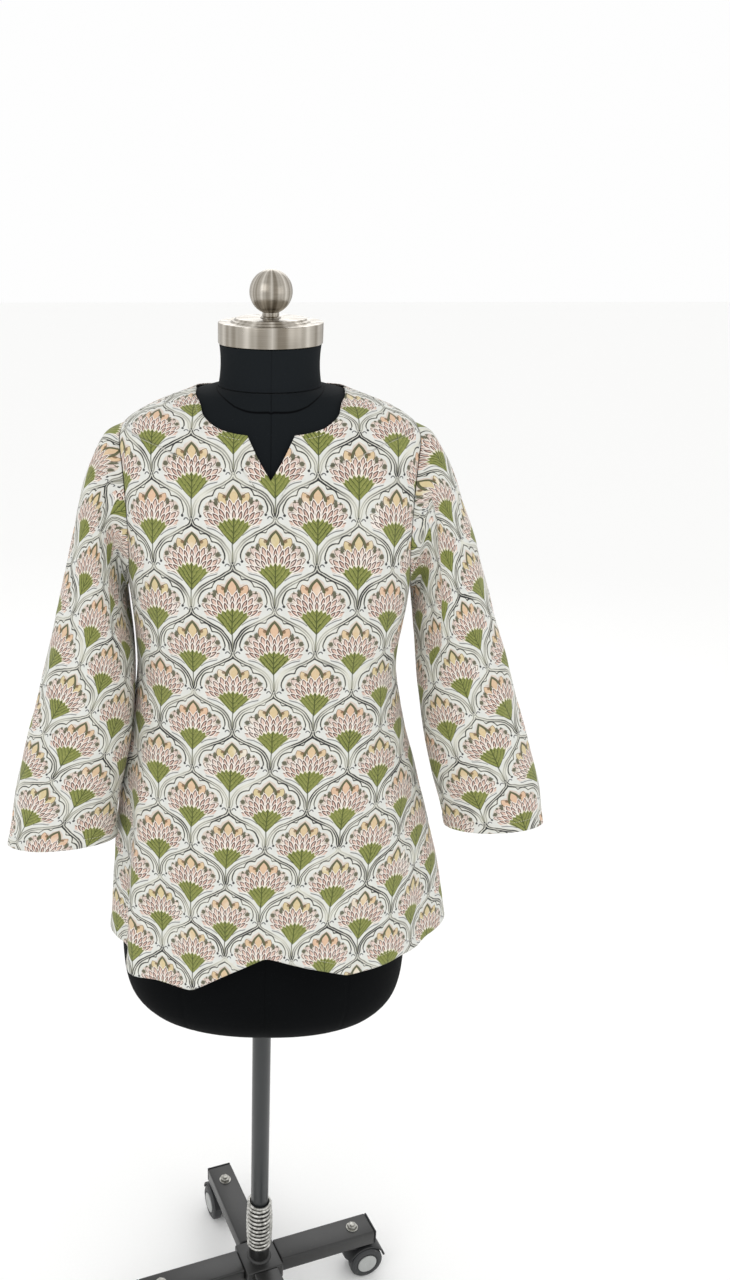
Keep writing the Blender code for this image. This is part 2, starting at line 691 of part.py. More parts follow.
def make_bar(index, material):
    """A box-section arm from the hub outwards, its long edges rounded."""
    near = HUB_HALF + FIT_GAP
    bar = bmesh.new()
    bmesh.ops.create_cube(bar, size=1.0)
    bmesh.ops.scale(bar, verts=bar.verts, vec=(BAR_END - near, BAR_WIDTH, BAR_HEIGHT))
    long_edges = [edge for edge in bar.edges if abs(edge.verts[0].co.x - edge.verts[1].co.x) > BAR_WIDTH]
    bmesh.ops.bevel(
        bar, geom=long_edges, offset=BAR_EDGE, segments=2, profile=0.5, affect="EDGES", clamp_overlap=True
    )
    centre = Vector(((BAR_END + near) / 2, 0, BAR_BOTTOM_Z + BAR_HEIGHT / 2))
    bmesh.ops.translate(bar, verts=bar.verts, vec=centre)
    bmesh.ops.transform(bar, matrix=bar_frame(index), verts=bar.verts)
    place(f"base_bar_{index + 1}", bar, material)


def laid_down(solid):
    """Turns a solid that stands along Z to lie along Y."""
    bmesh.ops.transform(solid, matrix=Matrix.Rotation(math.pi / 2, 4, "X"), verts=solid.verts)
    return solid


def fork_web():
    """The plate between the two wheels: a round foot about the axle, rising to the swivel."""
    trail = AXLE_REACH - SWIVEL_REACH
    top = BAR_BOTTOM_Z - FIT_GAP - SWIVEL_THICK / 2
    outline = []
    for step in range(WEB_STEPS + 1):
        angle = math.radians(-WEB_SWEEP_DEG * (1.0 - step / WEB_STEPS))
        x = trail + WEB_FOOT_RADIUS * math.cos(angle)
        outline.append((x, WHEEL_RADIUS + WEB_FOOT_RADIUS * math.sin(angle)))
    outline.append((trail + WEB_TOP_AHEAD, top))
    outline.append((-WEB_TOP_BEHIND, top))
    web = bmesh.new()
    face = web.faces.new([web.verts.new((x, -WEB_HALF, z)) for x, z in outline])
    made = bmesh.ops.extrude_face_region(web, geom=[face], use_keep_orig=True)["geom"]
    moved = [item for item in made if isinstance(item, bmesh.types.BMVert)]
    bmesh.ops.translate(web, verts=moved, vec=(0, 2 * WEB_HALF, 0))
    bmesh.ops.recalc_face_normals(web, faces=web.faces)
    return web


def fork_fender():
    """A curved guard over the tops of both wheels."""
    fender = bmesh.new()
    corners = [
        (FENDER_INNER, -FENDER_HALF),
        (FENDER_OUTER, -FENDER_HALF),
        (FENDER_OUTER, FENDER_HALF),
        (FENDER_INNER, FENDER_HALF),
    ]
    start = math.radians(FENDER_START_DEG)
    section = [fender.verts.new((r * math.cos(start), y, r * math.sin(start))) for r, y in corners]
    face = fender.faces.new(section)
    bmesh.ops.spin(
        fender,
        geom=[face],
        cent=(0, 0, 0),
        axis=(0, -1, 0),
        angle=math.radians(FENDER_SWEEP_DEG),
        steps=FENDER_STEPS,
    )
    ends = [edge for edge in fender.edges if edge.is_boundary]
    bmesh.ops.holes_fill(fender, edges=ends, sides=0)
    bmesh.ops.translate(fender, verts=fender.verts, vec=(AXLE_REACH - SWIVEL_REACH, 0, WHEEL_RADIUS))
    bmesh.ops.recalc_face_normals(fender, faces=fender.faces)
    return fender


def make_castor(index, shell_paint, wheel_paint):
    """A twin-wheel castor under a bar's end: a fork that swivels and a pair of wheels on one axle."""
    turn = bar_frame(index)
    pivot = AXIS + turn @ Vector((SWIVEL_REACH, 0, 0))
    top = BAR_BOTTOM_Z - FIT_GAP

    def turned_to_bar(mesh_data):
        bmesh.ops.transform(mesh_data, matrix=turn, verts=mesh_data.verts)
        return mesh_data

    plate = cylinder(SWIVEL_RADIUS, top - SWIVEL_THICK, top, 16)
    fork = place(f"castor_{index + 1}_fork", turned_to_bar(plate), shell_paint, move=pivot)
    web = cutter(f"web_{index + 1}", turned_to_bar(fork_web()), move=pivot)
    combine(fork, web, "UNION")
    fender = cutter(f"fender_{index + 1}", turned_to_bar(fork_fender()), move=pivot)
    combine(fork, fender, "UNION")
    bore_radius = AXLE_RADIUS + FIT_GAP
    bore_half = 2 * WEB_HALF
    bore = laid_down(cylinder(bore_radius, -bore_half, bore_half, 12))
    bmesh.ops.translate(bore, verts=bore.verts, vec=(AXLE_REACH - SWIVEL_REACH, 0, WHEEL_RADIUS))
    combine(fork, cutter(f"axle_bore_{index + 1}", turned_to_bar(bore), move=pivot), "DIFFERENCE")

    half = [
        (AXLE_RADIUS, WHEEL_INNER),
        (WHEEL_RADIUS - WHEEL_EDGE, WHEEL_INNER),
        (WHEEL_RADIUS, WHEEL_INNER + WHEEL_EDGE),
        (WHEEL_RADIUS, WHEEL_OUTER - WHEEL_EDGE),
        (WHEEL_RADIUS - WHEEL_EDGE, WHEEL_OUTER),
        (WHEEL_CAP_RADIUS + WHEEL_EDGE, WHEEL_OUTER),
        (WHEEL_CAP_RADIUS, WHEEL_CAP),
        (0.0, WHEEL_CAP),
    ]
    other_half = [(radius, -y) for radius, y in reversed(half)]
    wheels = laid_down(turned(other_half + half, 16))
    axle = AXIS + turn @ Vector((AXLE_REACH, 0, WHEEL_RADIUS))
    place(f"castor_{index + 1}_wheels", turned_to_bar(wheels), wheel_paint, move=axle)


def main():
    clear_scene()
    cotton = finish("printed cotton", (0.80, 0.76, 0.68), 0.85)
    black_cover = finish("black jersey cover", (0.012, 0.013, 0.016), 0.8)
    nickel = finish("brushed nickel", (0.62, 0.58, 0.53), 0.3, 1.0)
    pole_paint = finish("dark grey enamel", (0.07, 0.08, 0.085), 0.45)
    base_paint = finish("black enamel", (0.02, 0.02, 0.02), 0.5)
    steel = finish("bright spring steel", (0.62, 0.62, 0.60), 0.3, 1.0)
    shell_paint = finish("black nylon", (0.02, 0.02, 0.02), 0.55)
    wheel_paint = finish("grey wheel nylon", (0.05, 0.05, 0.05), 0.5)

    make_body_panels(cotton)
    make_sleeves(cotton)
    make_torso(black_cover)
    make_neck(black_cover, nickel)
    make_stand(pole_paint, base_paint, steel)
    for index in range(BAR_COUNT):
        make_castor(index, shell_paint, wheel_paint)


main()
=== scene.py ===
"""The looks of a block-printed cotton tunic on a limbless dress form with a castor base.

Everything is in metres in the row frame, +Z up, with the form facing -Y. Angles round the body run from the
side seam at +X (0) through the centre front (90) and the side seam at -X (180) to the centre back (270).
"""

import logging
import math
from dataclasses import dataclass
from enum import Enum

import bmesh
import bpy
import numpy as np
from bmesh.types import BMesh
from bpy.types import Material, Node, NodeSocket, NodeTree, Object
from mathutils import Matrix, Vector


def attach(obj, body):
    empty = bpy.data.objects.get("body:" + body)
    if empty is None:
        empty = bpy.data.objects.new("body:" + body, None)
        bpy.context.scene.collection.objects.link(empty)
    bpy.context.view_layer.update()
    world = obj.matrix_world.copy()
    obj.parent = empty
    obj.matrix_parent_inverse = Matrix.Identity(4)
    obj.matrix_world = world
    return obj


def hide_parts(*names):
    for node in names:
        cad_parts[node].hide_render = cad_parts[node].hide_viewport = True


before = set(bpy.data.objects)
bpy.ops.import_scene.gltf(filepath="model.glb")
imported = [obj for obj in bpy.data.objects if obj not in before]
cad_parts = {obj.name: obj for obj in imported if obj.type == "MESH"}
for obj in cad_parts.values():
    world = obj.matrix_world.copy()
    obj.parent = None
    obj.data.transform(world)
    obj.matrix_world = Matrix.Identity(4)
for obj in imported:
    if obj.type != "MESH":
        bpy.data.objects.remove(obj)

LOG = logging.getLogger("tunic")
MM = 0.001
COLOURS = {"data_type": "RGBA"}

# The form's axis
AXIS_X = -11.25 * MM
AXIS = Vector((AXIS_X, 0.0, 0.0))

# Cloth: how far it stands off the form, and its wall
REST_GAP = 1.8 * MM
CLOTH = 1.2 * MM
WALL = 0.9 * MM
SLEEVE_GAP = 0.3 * MM

# Rows of a panel whose normals serve the stitches of its hem and neck
HEM_ROW = 5
NECK_ROW = -4

# Landmarks of the tunic
UNDERARM_Z = 1.131
SHOULDER_TIP_Z = 1.311
NECK_POINT_Z = 1.3485
ARMHOLE_FRONT_DEG = 25.0
ARMHOLE_BACK_DEG = 22.0
NOTCH = (83.5, 90.0, 96.5)

# Sections of the form: height, half width, front and back depth, exponent of the superellipse
FORM_RINGS = (
    (0.5490, 0.122, 0.072, 0.070, 2.3),
    (0.5530, 0.142, 0.088, 0.086, 2.3),
    (0.5640, 0.160, 0.104, 0.102, 2.3),
    (0.5880, 0.175, 0.116, 0.114, 2.3),
    (0.6300, 0.181, 0.121, 0.119, 2.3),
    (0.7000, 0.180, 0.123, 0.121, 2.3),
    (0.7800, 0.174, 0.119, 0.118, 2.2),
    (0.8600, 0.157, 0.106, 0.104, 2.2),
    (0.9200, 0.137, 0.094, 0.089, 2.2),
    (0.9650, 0.127, 0.090, 0.080, 2.2),
    (1.0100, 0.130, 0.096, 0.082, 2.2),
    (1.0600, 0.138, 0.111, 0.090, 2.3),
    (1.1100, 0.147, 0.125, 0.098, 2.4),
    (1.1500, 0.152, 0.122, 0.103, 2.5),
    (1.2000, 0.158, 0.109, 0.106, 2.6),
    (1.2500, 0.163, 0.093, 0.104, 2.6),
    (1.2800, 0.1655, 0.084, 0.099, 2.6),
    (1.3000, 0.1640, 0.080, 0.092, 2.5),
    (1.3100, 0.1590, 0.078, 0.087, 2.4),
    (1.3190, 0.1480, 0.075, 0.082, 2.3),
    (1.3270, 0.1340, 0.072, 0.078, 2.2),
    (1.3350, 0.1160, 0.068, 0.074, 2.1),
    (1.3420, 0.0980, 0.065, 0.070, 2.0),
    (1.3480, 0.0810, 0.062, 0.066, 2.0),
    (1.3535, 0.0600, 0.059, 0.060, 2.0),
)

# Sections of the tunic's inside up to the chest: height, right and left half width, front and back depth,
# exponent. Above them the cloth lies on the form.
CHEST_RINGS = (
    (0.6400, 0.231, 0.192, 0.152, 0.146, 2.1),
    (0.7000, 0.222, 0.188, 0.149, 0.141, 2.1),
    (0.7600, 0.212, 0.184, 0.145, 0.136, 2.1),
    (0.8340, 0.195, 0.178, 0.139, 0.129, 2.1),
    (0.8880, 0.181, 0.172, 0.134, 0.121, 2.2),
    (0.9460, 0.165, 0.162, 0.129, 0.112, 2.2),
    (1.0060, 0.152, 0.152, 0.127, 0.104, 2.3),
    (1.0460, 0.148, 0.149, 0.128, 0.101, 2.3),
    (1.1110, 0.156, 0.153, 0.130, 0.103, 2.5),
    (1.1700, 0.161, 0.160, 0.123, 0.107, 2.6),
    (1.2300, 0.1655, 0.1655, 0.104, 0.109, 2.6),
)
DRAPE_RINGS = CHEST_RINGS + tuple((z, half, half, *rest) for z, half, *rest in FORM_RINGS if z >= 1.28)

# The hem's corners round the body: angle and height
HEM_CORNERS = (
    (0, 0.700), (34, 0.690), (46, 0.695), (66, 0.686), (90, 0.716), (116, 0.661), (141, 0.663),
    (160, 0.668), (180, 0.674), (206, 0.667), (242, 0.664), (270, 0.714), (296, 0.682), (330, 0.696),
    (360, 0.700),
)

# The round neckline with its narrow notch: angle and height
NECKLINE = (
    (0, NECK_POINT_Z), (20, 1.3470), (40, 1.3420), (50, 1.3370), (58, 1.3305), (66, 1.3240), (72, 1.3190),
    (78, 1.3155), (83.5, 1.3135), (84.58, 1.3093), (85.67, 1.3043), (86.75, 1.2978), (87.83, 1.2897),
    (88.92, 1.2807), (90, 1.2680), (91.08, 1.2807), (92.17, 1.2897), (93.25, 1.2978), (94.33, 1.3043),
    (95.42, 1.3093), (96.5, 1.3135), (102, 1.3155), (108, 1.3190), (114, 1.3240), (122, 1.3305),
    (130, 1.3370), (140, 1.3420), (160, 1.3470), (180, NECK_POINT_Z), (225, 1.3445), (270, 1.3405),
    (315, 1.3445), (360, NECK_POINT_Z),
)

# Folds that grow downwards to the hem: angle, width in degrees, depth, height where they start
FOLDS = (
    (12, 9, 0.005, 0.95), (29, 8, -0.005, 0.95), (52, 10, 0.004, 0.90), (104, 10, -0.003, 0.90),
    (141, 7, 0.016, 1.04), (157, 7, -0.009, 1.02), (172, 6, 0.003, 0.95), (206, 9, 0.007, 1.00),
    (228, 8, -0.007, 0.98), (250, 9, 0.007, 0.98), (290, 9, 0.007, 0.98), (312, 8, -0.007, 0.98),
    (336, 9, 0.007, 1.00),
)

# Sections of a sleeve: inner x and z, outer x and z, centre y, half depth, rise of the front edge
RIGHT_SLEEVE = (
    (0.1655, 1.1200, 0.1830, 1.2985, 0.001, 0.0535, 0.0),
    (0.1680, 1.0980, 0.2050, 1.2560, -0.004, 0.0570, 0.0),
    (0.1720, 1.0600, 0.2290, 1.1930, -0.012, 0.0590, 0.0),
    (0.1770, 1.0120, 0.2520, 1.1200, -0.019, 0.0590, 0.001),
    (0.1860, 0.9550, 0.2780, 1.0400, -0.025, 0.0565, 0.002),
    (0.1990, 0.8980, 0.3050, 0.9560, -0.030, 0.0520, 0.004),
    (0.2110, 0.8590, 0.3260, 0.8880, -0.033, 0.0470, 0.006),
    (0.2175, 0.8300, 0.3355, 0.8370, -0.034, 0.0430, 0.008),
)
LEFT_SLEEVE = (
    (0.1620, 1.1200, 0.1830, 1.2985, 0.001, 0.0535, 0.0),
    (0.1590, 1.0980, 0.2030, 1.2570, -0.012, 0.0570, 0.0),
    (0.1532, 1.0600, 0.2180, 1.1950, -0.028, 0.0590, 0.0),
    (0.1530, 1.0120, 0.2370, 1.1180, -0.037, 0.0590, 0.001),
    (0.1578, 0.9550, 0.2580, 1.0340, -0.042, 0.0565, 0.002),
    (0.1690, 0.9000, 0.2830, 0.9440, -0.045, 0.0520, 0.004),
    (0.1770, 0.8620, 0.3000, 0.8770, -0.046, 0.0470, 0.006),
    (0.1800, 0.8190, 0.3130, 0.8070, -0.046, 0.0430, 0.008),
)


class Body(Enum):
    """The CAD bodies that pieces ride on."""

    STAND = "stand"
    FORK = "castor_{}_fork"
    WHEELS = "castor_{}_wheels"


class Slot(Enum):
    """The record's material slots."""

    COTTON = "tunic_cotton"
    COVER = "form_cover"
    NICKEL = "brushed_nickel"
    POLE = "pole_enamel"
    SPRING = "spring_steel"
    BASE = "base_enamel"
    SHELL = "castor_shell"
    WHEEL = "castor_wheel"


# Small maths on arrays


def smooth_step(value: np.ndarray) -> np.ndarray:
    """A smooth step from 0 to 1."""
    value = np.clip(value, 0.0, 1.0)
    return value * value * (3.0 - 2.0 * value)


def smooth_curve(knots: np.ndarray, values: np.ndarray, at: np.ndarray) -> np.ndarray:
    """A smooth curve through values, its slope at each knot set by the knot's two neighbours.

    Args:
        knots: rising positions of the values.
        values: the values, with any further axes after the first.
        at: where the curve is read.

    Returns:
        The curve's values, one row for each entry of at.
    """
    knots = np.asarray(knots, float)
    values = np.asarray(values, float)
    at = np.clip(np.asarray(at, float), knots[0], knots[-1])
    last = len(knots) - 1
    low = np.maximum(np.arange(last + 1) - 1, 0)
    high = np.minimum(np.arange(last + 1) + 1, last)
    tail = (1,) * (values.ndim - 1)
    slopes = (values[high] - values[low]) / (knots[high] - knots[low]).reshape(-1, *tail)
    index = np.clip(np.searchsorted(knots, at, side="left") - 1, 0, last - 1)
    span = (knots[index + 1] - knots[index]).reshape(at.shape + tail)
    t = (at - knots[index]).reshape(at.shape + tail) / span
    return (
        values[index] * (2 * t**3 - 3 * t**2 + 1)
        + slopes[index] * span * (t**3 - 2 * t**2 + t)
        + values[index + 1] * (3 * t**2 - 2 * t**3)
        + slopes[index + 1] * span * (t**3 - t**2)
    )


def superellipse(angle: np.ndarray, sizes: np.ndarray) -> np.ndarray:
    """Points of a section.

    Args:
        angle: angles in degrees.
        sizes: right, left, front, back and exponent along the last axis.

    Returns:
        The x and y of each point along the last axis.
    """
    cosine = np.cos(np.radians(angle))
    sine = np.sin(np.radians(angle))
    half = np.where(cosine >= 0, sizes[..., 0], sizes[..., 1])
    depth = np.where(sine >= 0, sizes[..., 2], sizes[..., 3])
    power = 2.0 / sizes[..., 4]
    x = np.sign(cosine) * half * np.abs(cosine) ** power
    y = -np.sign(sine) * depth * np.abs(sine) ** power
    return np.stack([x, y], axis=-1)


def unit(vectors: np.ndarray) -> np.ndarray:
    """The vectors at length 1."""
    return vectors / np.maximum(np.linalg.norm(vectors, axis=-1, keepdims=True), 1e-12)


def distance_along(points: np.ndarray, axis: int) -> np.ndarray:
    """Distances over a table of points from its first row, for axis 0, or its first column, for axis 1."""
    steps = np.linalg.norm(np.diff(points, axis=axis), axis=-1)
    start = np.zeros_like(np.take(steps, [0], axis=axis))
    return np.concatenate([start, np.cumsum(steps, axis=axis)], axis=axis)


def drape(angle: np.ndarray, z: np.ndarray) -> np.ndarray:
    """The surface that the cloth's inside follows, folds included.

    Args:
        angle: angles in degrees.
        z: heights, in the same shape.

    Returns:
        The points, relative to the form's axis.
    """
    rings = np.array(DRAPE_RINGS)
    sizes = smooth_curve(rings[:, 0], rings[:, 1:], z)
    flat = superellipse(angle, sizes)
    half = np.where(flat[..., 0] > 0, sizes[..., 0], sizes[..., 1])
    depth = np.where(flat[..., 1] < 0, sizes[..., 2], sizes[..., 3])
    outward = unit(np.stack([flat[..., 0] / half**2, flat[..., 1] / depth**2], axis=-1))
    push = np.zeros_like(z)
    for middle, width, fold_depth, top in FOLDS:
        apart = (angle - middle + 180.0) % 360.0 - 180.0
        growth = smooth_step((top - z) / (top - HEM_CORNERS[0][1]))
        push += fold_depth * growth * np.exp(-((apart / width) ** 2))
    flat = flat + outward * push[..., None]
    return np.concatenate([flat, z[..., None]], axis=-1)


def drape_normal(angle: np.ndarray, z: np.ndarray) -> np.ndarray:
    """Outward normals of the draped surface."""
    across = drape(angle - 0.4, z) - drape(angle + 0.4, z)
    up = drape(angle, z + 0.4 * MM) - drape(angle, z - 0.4 * MM)
    return unit(np.cross(across, up))


def armhole_chart(turn: np.ndarray, middle_angle: float, width: float) -> tuple[np.ndarray, np.ndarray]:
    """Angle and height of an armhole's edge.

    Args:
        turn: degrees from 0 at the shoulder tip to 180 at the underarm.
        middle_angle: the side's angle.
        width: half width in degrees, signed.

    Returns:
        Angles and heights.
    """
    middle = (SHOULDER_TIP_Z + UNDERARM_Z) / 2.0
    half = (SHOULDER_TIP_Z - UNDERARM_Z) / 2.0
    turn = np.radians(np.asarray(turn, float))
    return middle_angle + width * np.sin(turn), middle + half * np.cos(turn)


def waver(u: np.ndarray, v: np.ndarray, size: float, seed: int) -> np.ndarray:
    """A gentle unevenness between about -1 and 1, the same on each run.

    Args:
        u: position along the cloth, in metres.
        v: position along the other way, in metres.
        size: the typical wavelength.
        seed: picks the directions.

    Returns:
        The unevenness at each place.
    """
    chance = np.random.default_rng(seed)
    total = np.zeros_like(u)
    for _ in range(7):
        heading = chance.uniform(0, math.tau)
        step = math.tau / (size * chance.uniform(0.6, 1.6))
        total += np.sin(
            step * (u * math.cos(heading) + v * math.sin(heading)) + chance.uniform(0, math.tau)
        )
    return total / 4.0


@dataclass(frozen=True)
class Crease:
    """A soft trough or ridge along a straight run of the cloth.

    start and end are two places in the piece's own chart, width and depth are in millimetres, and a depth
    above 0 stands outwards.
    """

    start: tuple[float, float]
    end: tuple[float, float]
    width: float
    depth: float


def crease_height(
    creases: tuple[Crease, ...], s: np.ndarray, t: np.ndarray, scale: tuple[float, float]
) -> np.ndarray:
    """How far the creases lift the cloth.

    Args:
        creases: the troughs and ridges.
        s: first chart coordinate of each place.
        t: second chart coordinate of each place.
        scale: metres for each unit of the two coordinates.

    Returns:
        The lift in metres.
    """
    lift = np.zeros_like(s)
    for crease in creases:
        a = np.array(crease.start) * scale
        b = np.array(crease.end) * scale
        run = b - a
        length = float(np.linalg.norm(run))
        along = run / length
        x = s * scale[0] - a[0]
        y = t * scale[1] - a[1]
        far = np.clip(x * along[0] + y * along[1], 0.0, length)
        off = np.hypot(x - far * along[0], y - far * along[1])
        fade = np.sin(math.pi * np.clip(far / length, 0.08, 0.92))
        lift += crease.depth * MM * fade * np.exp(-((off / (crease.width * MM)) ** 2))
    return lift


# Making meshes into pieces


def show(piece: Object, body: str, slot: Slot, *nodes: str) -> Object:
    """Hangs a finished piece on its body, hides the CAD nodes it stands for, and logs it."""
    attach(piece, body)
    if nodes:
        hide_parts(*nodes)
    faces = sum(len(face.vertices) - 2 for face in piece.data.polygons)
    LOG.info("%s: %d triangles on %s", piece.name, faces, body)
    return piece


def in_scene(name: str, data: bpy.types.ID) -> Object:
    """A new object in the scene, at the origin."""
    made = bpy.data.objects.new(name, data)
    bpy.context.scene.collection.objects.link(made)
    return made


def to_object(name: str, shape: BMesh, finishes: list[Material], crease_deg: float = 40.0) -> Object:
    """Turns a bmesh in the row frame into an object at the origin.

    Args:
        name: the piece's name.
        shape: the bmesh, which is freed.
        finishes: its materials, by slot.
        crease_deg: edges sharper than this are shaded sharp.

    Returns:
        The object.
    """
    mesh = bpy.data.meshes.new(name)
    shape.to_mesh(mesh)
    shape.free()
    for finish in finishes:
        mesh.materials.append(finish)
    mesh.shade_smooth()
    mesh.set_sharp_from_angle(angle=math.radians(crease_deg))
    piece = in_scene(name, mesh)
    return piece


def grid_cloth(name: str, points: np.ndarray, print_at: np.ndarray, closed: bool) -> Object:
    """A sheet of quads through a table of points, made from bmesh's grid.

    Args:
        name: the piece's name.
        points: rows by columns of points relative to the form's axis.
        print_at: the print's coordinates at each point, in metres.
        closed: whether the last column meets the first.

    Returns:
        The object, its UV map named "print".
    """
    rows, columns = points.shape[:2]
    sheet = bmesh.new()
    bmesh.ops.create_grid(sheet, x_segments=columns - 1, y_segments=rows - 1, size=1.0)
    mesh = bpy.data.meshes.new(name)
    sheet.to_mesh(mesh)
    sheet.free()
    corners = np.empty(len(mesh.vertices) * 3, np.float32)
    mesh.vertices.foreach_get("co", corners)
    corners = corners.reshape(-1, 3)
    column = np.rint((corners[:, 0] + 1.0) / 2.0 * (columns - 1)).astype(int)
    row = np.rint((corners[:, 1] + 1.0) / 2.0 * (rows - 1)).astype(int)
    placed = points[row, column] + np.array(AXIS)
    mesh.vertices.foreach_set("co", placed.astype(np.float32).ravel())
    layer = mesh.uv_layers.new(name="print")
    owner = np.empty(len(mesh.loops), np.int32)
    mesh.loops.foreach_get("vertex_index", owner)
    layer.data.foreach_set("uv", print_at[row[owner], column[owner]].astype(np.float32).ravel())
    mesh.update()
    middle = placed.mean(axis=0)
    faces = np.empty(len(mesh.polygons) * 3, np.float32)
    mesh.polygons.foreach_get("normal", faces)
    centres = np.empty(len(mesh.polygons) * 3, np.float32)
    mesh.polygons.foreach_get("center", centres)
    if closed:
        row_middle = points.mean(axis=1) + np.array(AXIS)
        nearest = np.abs(centres.reshape(-1, 3)[:, 2:3] - row_middle[None, :, 2]).argmin(axis=1)
        middle = row_middle[nearest]
    outward = ((centres.reshape(-1, 3) - middle) * faces.reshape(-1, 3)).sum()
    if closed or outward < 0:
        work = bmesh.new()
        work.from_mesh(mesh)
        if closed:
            bmesh.ops.remove_doubles(work, verts=work.verts, dist=0.005 * MM)
        if outward < 0:
            bmesh.ops.reverse_faces(work, faces=work.faces)
        work.to_mesh(mesh)
        work.free()
    mesh.shade_smooth()
    piece = in_scene(name, mesh)
    return piece


def sheet_area(points: np.ndarray) -> float:
    """The area of a table of points, in square metres."""
    down = points[1:, :-1] - points[:-1, :-1]
    across = points[:-1, 1:] - points[:-1, :-1]
    return float(np.linalg.norm(np.cross(down, across), axis=-1).sum())


def give_wall(piece: Object, thickness: float) -> None:
    """Adds the cloth's wall inwards, with the second material on its inner side."""
    wall = piece.modifiers.new("wall", "SOLIDIFY")
    wall.thickness = thickness
    wall.offset = -1.0
    wall.use_even_offset = False
    wall.use_rim = True
    wall.material_offset = 1


def run_along(path: np.ndarray, step: float) -> tuple[np.ndarray, np.ndarray]:
    """Even places along a line of points.

    Args:
        path: the points.
        step: the distance between two places.

    Returns:
        The places and the line's direction at each.
    """
    lengths = np.concatenate([[0.0], np.cumsum(np.linalg.norm(np.diff(path, axis=0), axis=1))])
    count = max(2, int(lengths[-1] / step))
    at = (np.arange(count) + 0.5) * lengths[-1] / count
    places = np.stack([np.interp(at, lengths, path[:, axis]) for axis in range(3)], axis=1)
    ahead = np.stack([np.interp(at + step * 0.3, lengths, path[:, axis]) for axis in range(3)], axis=1)
    behind = np.stack([np.interp(at - step * 0.3, lengths, path[:, axis]) for axis in range(3)], axis=1)
    return places, unit(ahead - behind)


@dataclass(frozen=True)
class Stitching:
    """A row of lockstitches, each a small padded bead of thread lying on the cloth."""

    pitch: float = 3.0 * MM
    length: float = 2.3 * MM
    thickness: float = 0.45 * MM

    def sew(self, name: str, paths: list[tuple[np.ndarray, np.ndarray]], thread: Material) -> Object:
        """Sews along lines on the cloth.

        Args:
            name: the piece's name.
            paths: lines of points, each with the cloth's outward normals.
            thread: the thread's material.

        Returns:
            One object with all the stitches.
        """
        beads = bmesh.new()
        for path, normals in paths:
            places, heading = run_along(path, self.pitch)
            spread = np.linspace(0, 1, len(path))
            at = np.linspace(0, 1, len(places))
            lifted = unit(np.stack([np.interp(at, spread, normals[:, axis]) for axis in range(3)], axis=1))
            for place, ahead, up in zip(places, heading, lifted):
                side = Vector(np.cross(up, ahead)).normalized()
                turn = Matrix((Vector(ahead), side, Vector(up))).transposed().to_4x4()
                size = Matrix.Diagonal((self.length / 2, self.thickness / 2, self.thickness / 2, 1.0))
                sunk = Vector(place) + Vector(up) * 0.02 * MM + AXIS
                bmesh.ops.create_icosphere(
                    beads, subdivisions=1, radius=1.0, matrix=Matrix.Translation(sunk) @ turn @ size
                )
        return to_object(name, beads, [thread], crease_deg=180.0)


# Materials


def linear(code: str) -> tuple[float, float, float, float]:
    """A colour's linear values from its sRGB hex code."""
    parts = [int(code[place : place + 2], 16) / 255.0 for place in (1, 3, 5)]
    return (*[part / 12.92 if part <= 0.04045 else ((part + 0.055) / 1.055) ** 2.4 for part in parts], 1.0)


def add_node(tree: NodeTree, kind: str, settings: dict | None = None, links: dict | None = None) -> Node:
    """Adds a node with its settings and links.

    Args:
        tree: the node tree.
        kind: the shader node's type.
        settings: values of the node's own properties.
        links: by input name or number, a socket or wire to link or a value to set.

    Returns:
        The node.
    """
    made = tree.nodes.new("ShaderNode" + kind)
    for name, value in (settings or {}).items():
        setattr(made, name, value)
    for place, value in (links or {}).items():
        socket = made.inputs[place]
        value = getattr(value, "socket", value)
        if isinstance(value, NodeSocket):
            tree.links.new(value, socket)
        else:
            socket.default_value = value
    return made


